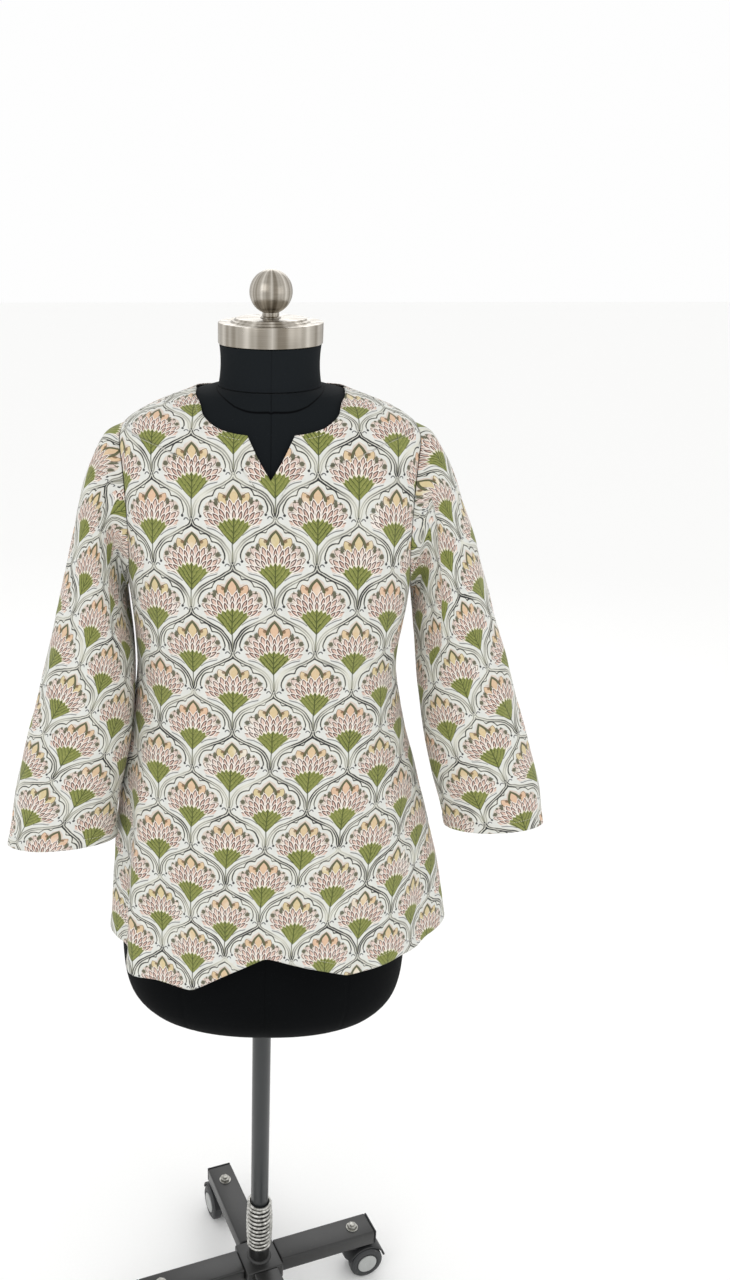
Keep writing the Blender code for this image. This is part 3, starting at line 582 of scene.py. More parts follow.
class Wire:
    """A number in a node tree that plain arithmetic works on."""

    def __init__(self, tree: NodeTree, socket: NodeSocket) -> None:
        """Holds the socket that gives the number."""
        self.tree = tree
        self.socket = socket

    def by(self, operation: str, *others: "Wire | float", clamp: bool = False) -> "Wire":
        """The result of one operation on this number and the others."""
        numbers = dict(enumerate((self, *others)))
        made = add_node(self.tree, "Math", {"operation": operation, "use_clamp": clamp}, numbers)
        return Wire(self.tree, made.outputs[0])

    def __add__(self, other: "Wire | float") -> "Wire":
        """Sum."""
        return self.by("ADD", other)

    def __sub__(self, other: "Wire | float") -> "Wire":
        """Difference."""
        return self.by("SUBTRACT", other)

    def __mul__(self, other: "Wire | float") -> "Wire":
        """Product."""
        return self.by("MULTIPLY", other)

    def __truediv__(self, other: "Wire | float") -> "Wire":
        """Quotient."""
        return self.by("DIVIDE", other)

    def __gt__(self, other: "Wire | float") -> "Wire":
        """1 where this is larger."""
        return self.by("GREATER_THAN", other)

    def __lt__(self, other: "Wire | float") -> "Wire":
        """1 where this is smaller."""
        return self.by("LESS_THAN", other)

    def curve(self, points: tuple[tuple[float, float], ...]) -> "Wire":
        """This number, from 0 to 1, read through a smooth curve of points."""
        made = add_node(self.tree, "FloatCurve", links={"Value": self})
        line = made.mapping.curves[0]
        while len(line.points) < len(points):
            line.points.new(0.5, 0.5)
        for spot, place in zip(line.points, points):
            spot.location = place
        made.mapping.update()
        return Wire(self.tree, made.outputs[0])

    def scaled(self, slope: "Wire | float", level: "Wire | float") -> "Wire":
        """This number times slope, plus level."""
        return self.by("MULTIPLY_ADD", slope, level)

    def ramp(self, slope: float, level: float) -> "Wire":
        """This number times slope, plus level, kept from 0 to 1."""
        return self.by("MULTIPLY_ADD", slope, level, clamp=True)

    def absolute(self) -> "Wire":
        """This number without its sign."""
        return self.by("ABSOLUTE")

    def within(self, half: "Wire | float", soft: float) -> "Wire":
        """1 where this is below half, fading over soft."""
        if isinstance(half, Wire):
            return ((half - self) * (1.0 / soft)).by("ADD", 0.5, clamp=True)
        return self.ramp(-1.0 / soft, half / soft + 0.5)


@dataclass(frozen=True)
class Finish:
    """A material of this object: what all the finishes share.

    name is the real material, colour its sRGB hex.
    """

    name: str
    colour: str
    roughness: float

    def begin(self, metallic: float = 0.0) -> tuple[Material, NodeTree, Node]:
        """A new material with its surface shader set to the plain values.

        Args:
            metallic: 1 for a bare metal.

        Returns:
            The material, its node tree and its surface shader.
        """
        material = bpy.data.materials.new(self.name)
        material.use_nodes = True
        tree = material.node_tree
        surface = tree.nodes["Principled BSDF"]
        surface.inputs["Base Color"].default_value = linear(self.colour)
        surface.inputs["Roughness"].default_value = self.roughness
        surface.inputs["Metallic"].default_value = metallic
        return material, tree, surface


@dataclass(frozen=True)
class BlockPrint(Finish):
    """Hand block-printed cotton cambric: a half-drop lattice of ogees, each with a lotus over a green calyx.

    Woven from fine yarn and printed with wooden blocks, so its lines swell and break and its colour blocks
    sit a little off their outlines. A repeat is 88 mm wide and 95 mm high on the cloth. It is drawn 92.5
    wide and 96 high, in units close to a millimetre. The blocks cut lines of 0.6 mm: they are drawn about
    1 mm wide so that they show.
    """

    strength: float = 1.0

    REPEAT = (88.0, 95.0)
    WIDE = 92.5
    HIGH = 96.0
    # half width of an ogee, as a share, from its top down to its widest place
    SHAPE = (
        (0, 0), (0.125, 0.05), (0.173, 0.13), (0.233, 0.225), (0.285, 0.335), (0.338, 0.445),
        (0.388, 0.556),
        (0.448, 0.666), (0.52, 0.763), (0.583, 0.82), (0.667, 0.88), (0.77, 0.93), (0.917, 0.955), (1, 1),
    )
    # how much of a level distance to the ogee's line is left at right angles to it
    UPRIGHT = (
        (0, 0.95), (0.09, 0.85), (0.15, 0.55), (0.26, 0.443), (0.36, 0.435), (0.42, 0.495), (0.485, 0.61),
        (0.55, 0.755), (0.625, 0.825), (0.72, 0.90), (0.85, 0.98), (1, 0.9),
    )
    # reach of the scalloped frame from the flower's root, by the turn from upright, as a share of 60
    FRAME = (
        (0, 0.817), (0.061, 0.777), (0.118, 0.745), (0.161, 0.693), (0.212, 0.713), (0.268, 0.722),
        (0.323, 0.705), (0.362, 0.680), (0.399, 0.657), (0.447, 0.682), (0.5, 0.707), (0.568, 0.722),
        (0.631, 0.715), (0.701, 0.70), (0.766, 0.672), (0.803, 0.63), (1, 0.5),
    )
    # height of the frame's lower line above -32, as a share of 32
    LOWER = (
        (0, 0.0625), (0.05, 0.125), (0.097, 0.25), (0.177, 0.39), (0.255, 0.484), (0.335, 0.5625),
        (0.445, 0.6375), (0.556, 0.678), (0.649, 0.719), (0.7135, 0.797), (0.746, 0.875), (0.778, 0.9375),
        (1, 1),
    )

    def paint(
        self, tree: NodeTree, under: object, colour: object, mask: Wire, weight: float = 1.0
    ) -> object:
        """Prints one block's colour over what is there.

        Args:
            tree: the node tree.
            under: the colour socket or value below.
            colour: the block's colour, a socket, a value or an sRGB hex code.
            mask: where it prints.
            weight: how dense its colour is.

        Returns:
            The colour socket above.
        """
        factor = mask if weight == 1.0 else mask * weight
        tints = [linear(tint) if isinstance(tint, str) else tint for tint in (under, colour)]
        made = add_node(tree, "Mix", COLOURS, {0: factor, 6: tints[0], 7: tints[1]})
        return made.outputs[2]

    def fan(self, aside: Wire, up: Wire, root: float, rate: tuple[float, float]) -> tuple[Wire, Wire, Wire]:
        """Places in a fan of petals.

        Args:
            aside: distance from the flower's axis.
            up: height in the cell.
            root: height of the fan's root.
            rate: petals to a degree on the axis, and how that grows with each degree.

        Returns:
            Distance from the root, number of the direction, and units to a number.
        """
        lift = up - root
        far = (aside * aside + lift * lift).by("SQRT")
        turn = aside.by("ARCTAN2", lift) * (180.0 / math.pi)
        number = turn.scaled(rate[1], rate[0]) * turn
        slope = turn.scaled(2.0 * rate[1], rate[0])
        return far, number, far / slope * (math.pi / 180.0)

    def petals(
        self,
        tree: NodeTree,
        colour: object,
        fan: tuple[Wire, Wire, Wire],
        shift: float,
        reach: tuple[float, float, float],
        form: tuple[float, float, float, float],
        inks: tuple[object, str, str],
        masks: tuple[Wire, Wire],
    ) -> object:
        """Prints one ring of pointed petals.

        Args:
            tree: the node tree.
            colour: the colour below.
            fan: distance from the root, number of the direction, and units to a number.
            shift: 0 for petals on the axis, 0.5 for petals between.
            reach: inner radius, tip radius, and how much the tip radius falls from each petal to the next.
            form: half width of a petal as a share of the spacing, how far out its widest place lies, the
                width of its pale rim and the half width of the line in it.
            inks: fill, outline and inner line.
            masks: where the flower is, and how well its colour printed.

        Returns:
            The colour above.
        """
        far, number, spread = fan
        area, ink = masks
        petal = (number - shift).by("ROUND") + shift
        tip = petal * -reach[2] + reach[1]
        along = ((far - reach[0]) / (tip - reach[0])).by("MAXIMUM", 0.0).by("POWER", form[1])
        bow = along.scaled(2.0, -1.0)
        lens = (bow * bow).scaled(-form[0], form[0])
        beside = (number - petal).absolute()
        edge = (lens - beside) * spread
        inside = edge.ramp(3.0, 0.4) * area
        colour = self.paint(tree, colour, inks[1], inside)
        filled = (edge - form[2]).ramp(2.5, 0.4) * area
        colour = self.paint(tree, colour, inks[0], filled * ink, 0.95)
        line = (edge - (form[2] + form[3])).absolute().within(form[3], 0.3)
        return self.paint(tree, colour, inks[2], line * area, 0.95)

    def spot(self, aside: Wire, up: Wire, centre: tuple[float, float], size: tuple[float, float]) -> Wire:
        """1 within an ellipse of the two half sizes at the centre, on both sides of the axis."""
        x = (aside - centre[0]) / size[0]
        y = (up - centre[1]) / size[1]
        return (x * x + y * y).by("SQRT").within(1.0, 0.35)

    def print_colour(self, tree: NodeTree) -> tuple[object, Wire]:
        """The printed colour at each place of the cloth.

        Args:
            tree: the node tree.

        Returns:
            The colour socket, and how much ink lies there.
        """
        place = add_node(tree, "UVMap", {"uv_map": "print"}).outputs[0]
        # the cloth shifts under the block by up to 1 mm over about 30 mm
        wobble = add_node(tree, "TexNoise", links={"Vector": place, "Scale": 32.0, "Detail": 2.0})
        drift = add_node(tree, "SeparateColor", links={0: wobble.outputs["Color"]})
        spot = add_node(tree, "SeparateXYZ", links={0: place})
        across = Wire(tree, spot.outputs[0]) * (1000.0 * self.WIDE / self.REPEAT[0])
        up = Wire(tree, spot.outputs[1]) * (1000.0 * self.HIGH / self.REPEAT[1])
        across = Wire(tree, drift.outputs[0]).scaled(4.0, across)
        up = Wire(tree, drift.outputs[1]).scaled(4.0, up)

        # nearest cell of the half-drop lattice, and the ogee that parts two cells
        a = (across - 2.0) / self.WIDE
        b = (up - 2.0) / self.HIGH
        near_a = a - a.by("ROUND")
        near_b = b - b.by("ROUND")
        side = near_a.by("SIGN")
        rise = near_b.by("SIGN")
        fall = (b * -2.0).by("FRACT")
        bowed = fall.curve(self.SHAPE)
        upper = near_b > 0.0
        half = (bowed * (upper * 2.0 - 1.0) + (upper * -1.0 + 1.0)) * 0.5
        beyond = near_a.absolute() - half
        other = beyond > 0.0
        x = (near_a - other * side * 0.5) * self.WIDE
        y = (near_b - other * rise * 0.5) * self.HIGH
        edge = beyond.absolute() * fall.curve(self.UPRIGHT) * self.WIDE

        # each cell's blocks land a little off: three numbers that are the same all over a cell
        cell_a = ((a - x / self.WIDE) * 2.0).by("ROUND")
        cell_b = ((b - y / self.HIGH) * 2.0).by("ROUND")
        cell = add_node(tree, "CombineXYZ", links={0: cell_a, 1: cell_b})
        dice = add_node(tree, "TexWhiteNoise", {"noise_dimensions": "3D"}, {"Vector": cell.outputs[0]})
        cast = add_node(tree, "SeparateColor", links={0: dice.outputs["Color"]})
        third = Wire(tree, cast.outputs[2])
        block_x = (x + Wire(tree, cast.outputs[0]).scaled(1.6, -0.8)).absolute()
        block_y = y + Wire(tree, cast.outputs[1]).scaled(1.6, -0.8)
        aside = x.absolute()

        # ink density: uneven over 40 mm, speckled over 3 mm
        patch = add_node(tree, "TexNoise", links={"Vector": place, "Scale": 24.0, "Detail": 2.0})
        speck = add_node(tree, "TexNoise", links={"Vector": place, "Scale": 420.0, "Detail": 3.0})
        patchy = Wire(tree, patch.outputs[0])
        specked = Wire(tree, speck.outputs[0])
        press = patchy.ramp(2.4, -0.7)
        ink = (patchy + third * 0.14).ramp(7.0, -2.4)
        ink = ink * specked.ramp(0.9, 0.55)

        # the scalloped frame and its lower line
        frame_far, frame_number, _ = self.fan(aside, y, -8.0, (1.0 / 90.0, 0.0))
        scallop = frame_number.curve(self.FRAME) * 60.0 - frame_far
        lower = (y + 32.0 - (aside / (0.5 * self.WIDE)).curve(self.LOWER) * 32.0) * 0.8
        room = scallop.by("MINIMUM", lower)
        area = room.ramp(1.4, -2.0)
        colour = self.paint(tree, "#DFE0DB", "#D8C5B5", room.ramp(0.8, -3.6) * ink, 0.8)

        # outer petals: peach at the top, paler at the sides, with buds between
        fan = self.fan(block_x, block_y, -8.0, (0.0363, 0.000117))
        masks = (area, ink)
        warm = self.paint(tree, "#D5C393", "#DDB898", third.ramp(2.0, -0.5))
        fill = self.paint(tree, warm, "#D8C3B9", fan[1].ramp(2.2, -2.9))
        colour = self.petals(
            tree, colour, fan, 0.0, (12.0, 40.0, 1.1), (0.44, 1.7, 0.8, 0.45), (fill, "#EFE8DC", "#5D473B"),
            masks,
        )
        # hood round the top petal
        arch = (block_y - 19.0).by("MAXIMUM", 0.0)
        outer = ((arch / 15.5).by("POWER", 1.9)).scaled(-9.8, 9.8) - block_x
        inner = ((arch / 12.0).by("POWER", 1.9)).scaled(-6.2, 6.2) - block_x
        hood = outer.ramp(2.0, 0.4) * inner.ramp(-2.0, 0.6)
        colour = self.paint(tree, colour, "#4F5330", hood * (block_y > 18.5) * (block_y < 35.5), 0.92)
        colour = self.paint(
            tree, colour, "#735A3C", self.spot(block_x, block_y, (10.6, 22.8), (2.2, 2.0)) * area, 0.8
        )
        ragged = specked.scaled(5.0, block_x - 2.5)
        buds = self.spot(ragged, block_y, (19.6, 17.2), (2.3, 4.2)).by(
            "MAXIMUM", self.spot(ragged, block_y, (29.6, 10.2), (2.9, 2.8))
        )
        buds = buds.by("MAXIMUM", self.spot(ragged, block_y, (25.4, 17.4), (1.4, 1.6)))
        colour = self.paint(tree, colour, "#4F523A", buds * area, 0.9)

        # inner petals: three rings of slim loops from a lower root
        fan = self.fan(block_x, block_y, -20.0, (1.0 / 14.0, 0.0))
        slim = self.fan(block_x, block_y, -20.0, (1.0 / 17.0, 0.0))
        loops = (
            ("#D9BAAA", "#F3ECE4", "#4E3730"), ("#D6B3A4", "#F3ECE4", "#4A332D"),
            ("#D6B3A4", "#F3ECE2", "#4A332D"),
        )
        colour = self.petals(
            tree, colour, fan, 0.5, (18.0, 41.5, 0.4), (0.48, 1.3, 1.1, 0.55), loops[0], masks
        )
        colour = self.petals(
            tree, colour, fan, 0.0, (15.0, 36.5, 0.3), (0.48, 1.2, 1.1, 0.6), loops[1], masks
        )
        colour = self.petals(
            tree, colour, slim, 0.0, (12.0, 30.5, 0.2), (0.46, 1.1, 1.1, 0.6), loops[2], masks
        )

        # calyx with its teeth and feathered veins
        foot = block_y + 28.0
        stem_far = (block_x * block_x + foot * foot).by("SQRT")
        stem_turn = block_x.by("ARCTAN2", foot) * (180.0 / math.pi)
        tooth = ((stem_turn / 11.0) - (stem_turn / 11.0).by("ROUND")).absolute()
        top = tooth.scaled(-6.5, 28.8) - stem_far
        spread = stem_turn.within(43.0, 2.5)
        colour = self.paint(tree, colour, "#EFE9D0", (top + 1.4).ramp(1.6, 0.4) * spread, 0.75)
        calyx = top.ramp(1.6, 0.4) * spread
        bent = Wire(tree, drift.outputs[2]).scaled(9.0, foot)
        rib = ((bent + specked * 4.0 - block_x * 1.25) / 6.4).by("FRACT")
        leaf = self.paint(tree, "#8A9045", "#69742C", rib)
        leaf = self.paint(tree, leaf, "#A09F58", specked.ramp(3.0, -1.3), 0.7)
        colour = self.paint(tree, colour, leaf, calyx, 0.97)
        vein = ((rib - 0.5).absolute() * -3.9 + 1.95).within(press * 0.5 + 0.1, 0.4).by(
            "MAXIMUM", block_x.within(0.6, 0.5)
        )
        colour = self.paint(tree, colour, "#39431A", vein * calyx, 0.85)
        shaft = aside.within(0.7, 0.5) * (y < -24.0)
        colour = self.paint(tree, colour, "#4B5038", shaft, 0.85)

        # damp ink has left a warm halo along the lines
        halo = edge.within(2.8, 2.4).by(
            "MAXIMUM", scallop.absolute().within(1.8, 1.8) * frame_number.within(0.8, 0.1)
        )
        colour = self.paint(tree, colour, "#E6DFB8", halo, 0.24)

        # outlines in the darkest block: their weight swells with the pressure of the hand
        weight = specked.scaled(0.4, press * 0.5 + 0.28)
        slack = add_node(tree, "TexNoise", links={"Vector": place, "Scale": 15.0, "Detail": 1.0})
        firm = Wire(tree, slack.outputs[0])
        firm = (upper * 2.0 - 1.0) * (firm - 0.5)
        strong = firm.ramp(3.6, 0.8)
        contour = (edge - 1.2).absolute().within(weight, 0.45) * strong
        colour = self.paint(tree, colour, "#191A20", contour, 0.97)
        line = scallop.absolute().within(weight, 0.45) * frame_number.within(0.8, 0.02)
        low_line = lower.absolute().within(0.45, 0.4) * (scallop > 0.0)
        dot = self.spot(aside, y, (36.2, 3.0), (1.5, 1.5))
        line = line.by("MAXIMUM", low_line * 0.8).by("MAXIMUM", dot)
        colour = self.paint(tree, colour, "#1D1E24", line, 0.95)
        hook_x = aside - 40.4
        hook_y = y + 1.5
        hook_far = (hook_x * hook_x + hook_y * hook_y).by("SQRT")
        hook = (hook_far - 2.3).absolute().within(0.6, 0.4) * (hook_y > 0.0)
        knot = self.spot(aside, y.absolute(), (0.0, 47.0), (2.6, 1.6))
        colour = self.paint(tree, colour, "#2B2C34", hook.by("MAXIMUM", knot), 0.9)
        inked = contour.by("MAXIMUM", calyx).by("MAXIMUM", area * 0.5)
        return colour, inked

    def build(self) -> Material:
        """The material of the cloth's face, or of its paler back where strength is below 1."""
        material, tree, surface = self.begin()
        place = add_node(tree, "UVMap", {"uv_map": "print"}).outputs[0]
        colour, inked = self.print_colour(tree)
        if self.strength < 1.0:
            colour = add_node(
                tree, "Mix", COLOURS, {0: 1.0 - self.strength, 6: colour, 7: linear("#DEDBD2")}
            ).outputs[2]
        # yarn: real threads are 0.35 mm apart, drawn 1.1 mm apart so that the weave shows
        warp = add_node(
            tree, "TexWave", {"bands_direction": "X", "wave_profile": "SIN"},
            {"Vector": place, "Scale": 285.0, "Distortion": 1.2, "Detail": 1.0, "Detail Scale": 2.0},
        )
        weft = add_node(
            tree, "TexWave", {"bands_direction": "Y", "wave_profile": "SIN"},
            {"Vector": place, "Scale": 285.0, "Distortion": 1.2, "Detail": 1.0, "Detail Scale": 2.0},
        )
        weave = Wire(tree, warp.outputs["Fac"]) * Wire(tree, weft.outputs["Fac"])
        # small crumples left by wear and packing, 8 to 25 mm long
        crumple = add_node(
            tree, "TexNoise", links={"Vector": place, "Scale": 70.0, "Detail": 3.0, "Roughness": 0.55}
        )
        relief = weave.scaled(0.16, Wire(tree, crumple.outputs[0]))
        bump = add_node(tree, "Bump", links={"Height": relief, "Strength": 0.55, "Distance": 0.0016})
        # painted shade and light: the colour is darker in the crumples' hollows and lighter on their ridges,
        # and varies a little with the weave
        shade = Wire(tree, crumple.outputs[0]).scaled(0.22, 0.89) * weave.scaled(0.06, 0.97)
        toned = add_node(
            tree, "Mix", {"data_type": "RGBA", "blend_type": "MULTIPLY"}, {0: 1.0, 6: colour, 7: shade}
        )
        tree.links.new(toned.outputs[2], surface.inputs["Base Color"])
        tree.links.new(bump.outputs[0], surface.inputs["Normal"])
        rough = inked.scaled(-0.08, self.roughness)
        tree.links.new(rough.socket, surface.inputs["Roughness"])
        surface.inputs["Sheen Weight"].default_value = 0.12
        surface.inputs["Sheen Roughness"].default_value = 0.5
        surface.inputs["Specular IOR Level"].default_value = 0.3
        return material


@dataclass(frozen=True)
class CottonThread(Finish):
    """Mercerised sewing thread, twisted from two plies: faint slanted bands and a slight lustre."""

    def build(self) -> Material:
        """The material, its twist drawn 0.8 mm apart."""
        material, tree, surface = self.begin()
        place = add_node(tree, "TexCoord").outputs["Object"]
        twist = add_node(
            tree, "TexWave", {"bands_direction": "DIAGONAL"}, {"Vector": place, "Scale": 390.0}
        )
        tint = add_node(
            tree, "Mix", COLOURS, {0: twist.outputs["Fac"], 6: linear("#C9C4B8"), 7: linear(self.colour)}
        )
        tree.links.new(tint.outputs[2], surface.inputs["Base Color"])
        bump = add_node(
            tree, "Bump", links={"Height": twist.outputs["Fac"], "Strength": 0.3, "Distance": 0.0002}
        )
        tree.links.new(bump.outputs[0], surface.inputs["Normal"])
        return material


@dataclass(frozen=True)
class JerseyCover(Finish):
    """Knitted viscose jersey stretched over the form: matt black, fine wales, a soft sheen at the rim."""

    lint: str = "#3A3D42"
    seams: float = 0.0
    collar_side: float = 0.058
    collar_front: float = 0.0675
    collar_mm: float = 62.0

    def sewn(self, tree: NodeTree, place: NodeSocket) -> Wire:
        """The front seams, 1 mm wide: the centre line, and the round one where the neck's cover begins."""
        spot = add_node(tree, "SeparateXYZ", links={0: place})
        aside = (Wire(tree, spot.outputs[0]) - AXIS_X).absolute()
        ahead = Wire(tree, spot.outputs[1]) * -1.0
        # the collar is a superellipse seen from above, with the exponent 3
        cubes = (aside * (1.0 / self.collar_side)).by("POWER", 3.0)
        cubes = cubes + (ahead * (1.0 / self.collar_front)).by("MAXIMUM", 0.0).by("POWER", 3.0)
        beyond_mm = (cubes.by("POWER", 1.0 / 3.0) - 1.0) * self.collar_mm
        ring = beyond_mm.absolute().within(0.45, 0.45) * (ahead > 0.004)
        middle = (aside * 1000.0).within(0.45, 0.4) * (ahead > 0.03)
        return ring.by("MAXIMUM", middle * 0.6) * self.seams

    def build(self) -> Material:
        """The material, its wales 0.9 mm apart, real ones being 0.6 mm."""
        material, tree, surface = self.begin()
        place = add_node(tree, "TexCoord").outputs["Object"]
        wales = add_node(
            tree, "TexWave", {"bands_direction": "X"},
            {"Vector": place, "Scale": 350.0, "Distortion": 0.6, "Detail": 1.0},
        )
        courses = add_node(
            tree, "TexWave", {"bands_direction": "Z"},
            {"Vector": place, "Scale": 420.0, "Distortion": 0.6, "Detail": 1.0},
        )
        knit = Wire(tree, wales.outputs["Fac"]) * Wire(tree, courses.outputs["Fac"])
        cloud = add_node(tree, "TexNoise", links={"Vector": place, "Scale": 9.0, "Detail": 4.0})
        specks = add_node(tree, "TexNoise", links={"Vector": place, "Scale": 900.0, "Detail": 1.0})
        dust = Wire(tree, specks.outputs[0]).ramp(14.0, -10.0)
        tone = Wire(tree, cloud.outputs[0]).ramp(0.7, -0.1) * knit.scaled(0.5, 0.5)
        # painted light and shade: the cover is painted lighter towards the shoulders, where the light falls,
        # and darker below, with a random cloudy tone mixed in
        height = Wire(tree, add_node(tree, "SeparateXYZ", links={0: place}).outputs[2])
        tone_and_painted_light = tone * 0.35 + height.ramp(1.6, -1.4) * 0.65
        shade = add_node(tree, "Mix", COLOURS, {0: tone_and_painted_light, 6: linear(self.colour), 7: linear("#24282B")})
        linted = add_node(tree, "Mix", COLOURS, {0: dust * 0.35, 6: shade.outputs[2], 7: linear(self.lint)})
        sewn = self.sewn(tree, place)
        lined = add_node(tree, "Mix", COLOURS, {0: sewn * 0.9, 6: linted.outputs[2], 7: linear("#020203")})
        tree.links.new(lined.outputs[2], surface.inputs["Base Color"])
        bump = add_node(
            tree, "Bump", links={"Height": knit - sewn * 2.0, "Strength": 0.25, "Distance": 0.0004}
        )
        tree.links.new(bump.outputs[0], surface.inputs["Normal"])
        surface.inputs["Sheen Weight"].default_value = 0.03
        surface.inputs["Sheen Roughness"].default_value = 0.4
        surface.inputs["Specular IOR Level"].default_value = 0.05
        return material


@dataclass(frozen=True)
class BrushedNickel(Finish):
    """Nickel-plated steel turned and brushed on a lathe: fine rings that stretch each highlight."""

    def build(self) -> Material:
        """The material, its brush lines 0.5 mm apart round the form's axis, with a painted reflection of the
        room in its colour.
        """
        material, tree, surface = self.begin(metallic=1.0)
        place = add_node(tree, "TexCoord").outputs["Object"]
        centred = add_node(
            tree, "Mapping", {"vector_type": "POINT"}, {"Vector": place, "Location": (-AXIS_X, 0.0, 0.0)}
        )
        spot = add_node(tree, "SeparateXYZ", links={0: centred.outputs[0]})
        x = Wire(tree, spot.outputs[0])
        y = Wire(tree, spot.outputs[1])
        radius = (x * x + y * y).by("SQRT")
        round_it = add_node(
            tree, "CombineXYZ",
            links={
                0: radius * 2000.0, 1: Wire(tree, spot.outputs[2]) * 2000.0, 2: x.by("ARCTAN2", y) * 1.2
            },
        )
        lines = add_node(
            tree, "TexNoise", links={"Vector": round_it.outputs[0], "Scale": 1.0, "Detail": 3.0}
        )
        # painted reflection: soft upright bands, darker and lighter, of a room mirrored in such a cap,
        # painted into its colour
        turn = add_node(tree, "CombineXYZ", links={0: x.by("ARCTAN2", y) * 1.7, 1: 0.0})
        bands = add_node(
            tree, "TexNoise",
            links={"Vector": turn.outputs[0], "Scale": 2.1, "Detail": 1.4, "Roughness": 0.5},
        )
        grime = add_node(tree, "TexNoise", links={"Vector": place, "Scale": 60.0, "Detail": 5.0})
        painted_reflection = Wire(tree, bands.outputs[0]).ramp(3.4, -1.3)
        # the colour mixes the brush lines with the painted reflection
        tone = Wire(tree, lines.outputs[0]).scaled(0.35, painted_reflection).ramp(0.85, 0.0)
        tint = add_node(tree, "Mix", COLOURS, {0: tone, 6: linear("#6E6557"), 7: linear(self.colour)})
        tree.links.new(tint.outputs[2], surface.inputs["Base Color"])
        rough = Wire(tree, grime.outputs[0]).scaled(0.22, self.roughness - 0.08)
        tree.links.new(rough.socket, surface.inputs["Roughness"])
        bump = add_node(
            tree, "Bump", links={"Height": lines.outputs[0], "Strength": 0.18, "Distance": 0.0003}
        )
        tree.links.new(bump.outputs[0], surface.inputs["Normal"])
        surface.inputs["Anisotropic"].default_value = 0.5
        return material


@dataclass(frozen=True)
class Enamel(Finish):
    """Stove enamel on steel tube: smooth and a little orange-peeled, rubbed and chipped through use."""

    worn: str = "#6E6E6A"
    wear: float = 0.5

    def build(self) -> Material:
        """The material, its orange peel 1.5 mm across and its rubs long and narrow."""
        material, tree, surface = self.begin()
        place = add_node(tree, "TexCoord").outputs["Object"]
        peel = add_node(tree, "TexNoise", links={"Vector": place, "Scale": 650.0, "Detail": 1.0})
        stretched = add_node(
            tree, "Mapping", {"vector_type": "POINT"}, {"Vector": place, "Scale": (60.0, 60.0, 6.0)}
        )
        rubs = add_node(
            tree, "TexNoise",
            links={"Vector": stretched.outputs[0], "Scale": 1.6, "Detail": 5.0, "Roughness": 0.65},
        )
        rubbed = Wire(tree, rubs.outputs[0]).ramp(6.0, -3.6) * self.wear
        cloud = add_node(tree, "TexNoise", links={"Vector": place, "Scale": 25.0, "Detail": 3.0})
        base = add_node(
            tree, "Mix", COLOURS,
            {0: Wire(tree, cloud.outputs[0]) * 0.35, 6: linear(self.colour), 7: linear(self.worn)},
        )
        tint = add_node(tree, "Mix", COLOURS, {0: rubbed, 6: base.outputs[2], 7: linear(self.worn)})
        tree.links.new(tint.outputs[2], surface.inputs["Base Color"])
        rough = rubbed.scaled(0.25, self.roughness)
        tree.links.new(rough.socket, surface.inputs["Roughness"])
        bump = add_node(
            tree, "Bump", links={"Height": peel.outputs[0], "Strength": 0.12, "Distance": 0.0003}
        )
        tree.links.new(bump.outputs[0], surface.inputs["Normal"])
        surface.inputs["Coat Weight"].default_value = 0.25
        surface.inputs["Coat Roughness"].default_value = 0.25
        return material


@dataclass(frozen=True)
class SpringWire(Finish):
    """Zinc-plated spring steel wire, drawn through a die: bright, scratched lengthwise, dull in hollows."""

    def build(self) -> Material:
        """The material, its scratches 0.4 mm apart."""
        material, tree, surface = self.begin(metallic=1.0)
        place = add_node(tree, "TexCoord").outputs["Object"]
        drawn = add_node(
            tree, "Mapping", {"vector_type": "POINT"}, {"Vector": place, "Scale": (300.0, 300.0, 2500.0)}
        )
        scratches = add_node(
            tree, "TexNoise", links={"Vector": drawn.outputs[0], "Scale": 1.0, "Detail": 3.0}
        )
        dulled = add_node(tree, "TexNoise", links={"Vector": place, "Scale": 220.0, "Detail": 4.0})
        tone = Wire(tree, dulled.outputs[0]).ramp(3.0, -1.1)
        tint = add_node(tree, "Mix", COLOURS, {0: tone, 6: linear("#8F8E89"), 7: linear(self.colour)})
        tree.links.new(tint.outputs[2], surface.inputs["Base Color"])
        rough = Wire(tree, scratches.outputs[0]).scaled(0.25, self.roughness - 0.08)
        tree.links.new(rough.socket, surface.inputs["Roughness"])
        bump = add_node(
            tree, "Bump", links={"Height": scratches.outputs[0], "Strength": 0.15, "Distance": 0.0002}
        )
        tree.links.new(bump.outputs[0], surface.inputs["Normal"])
        return material


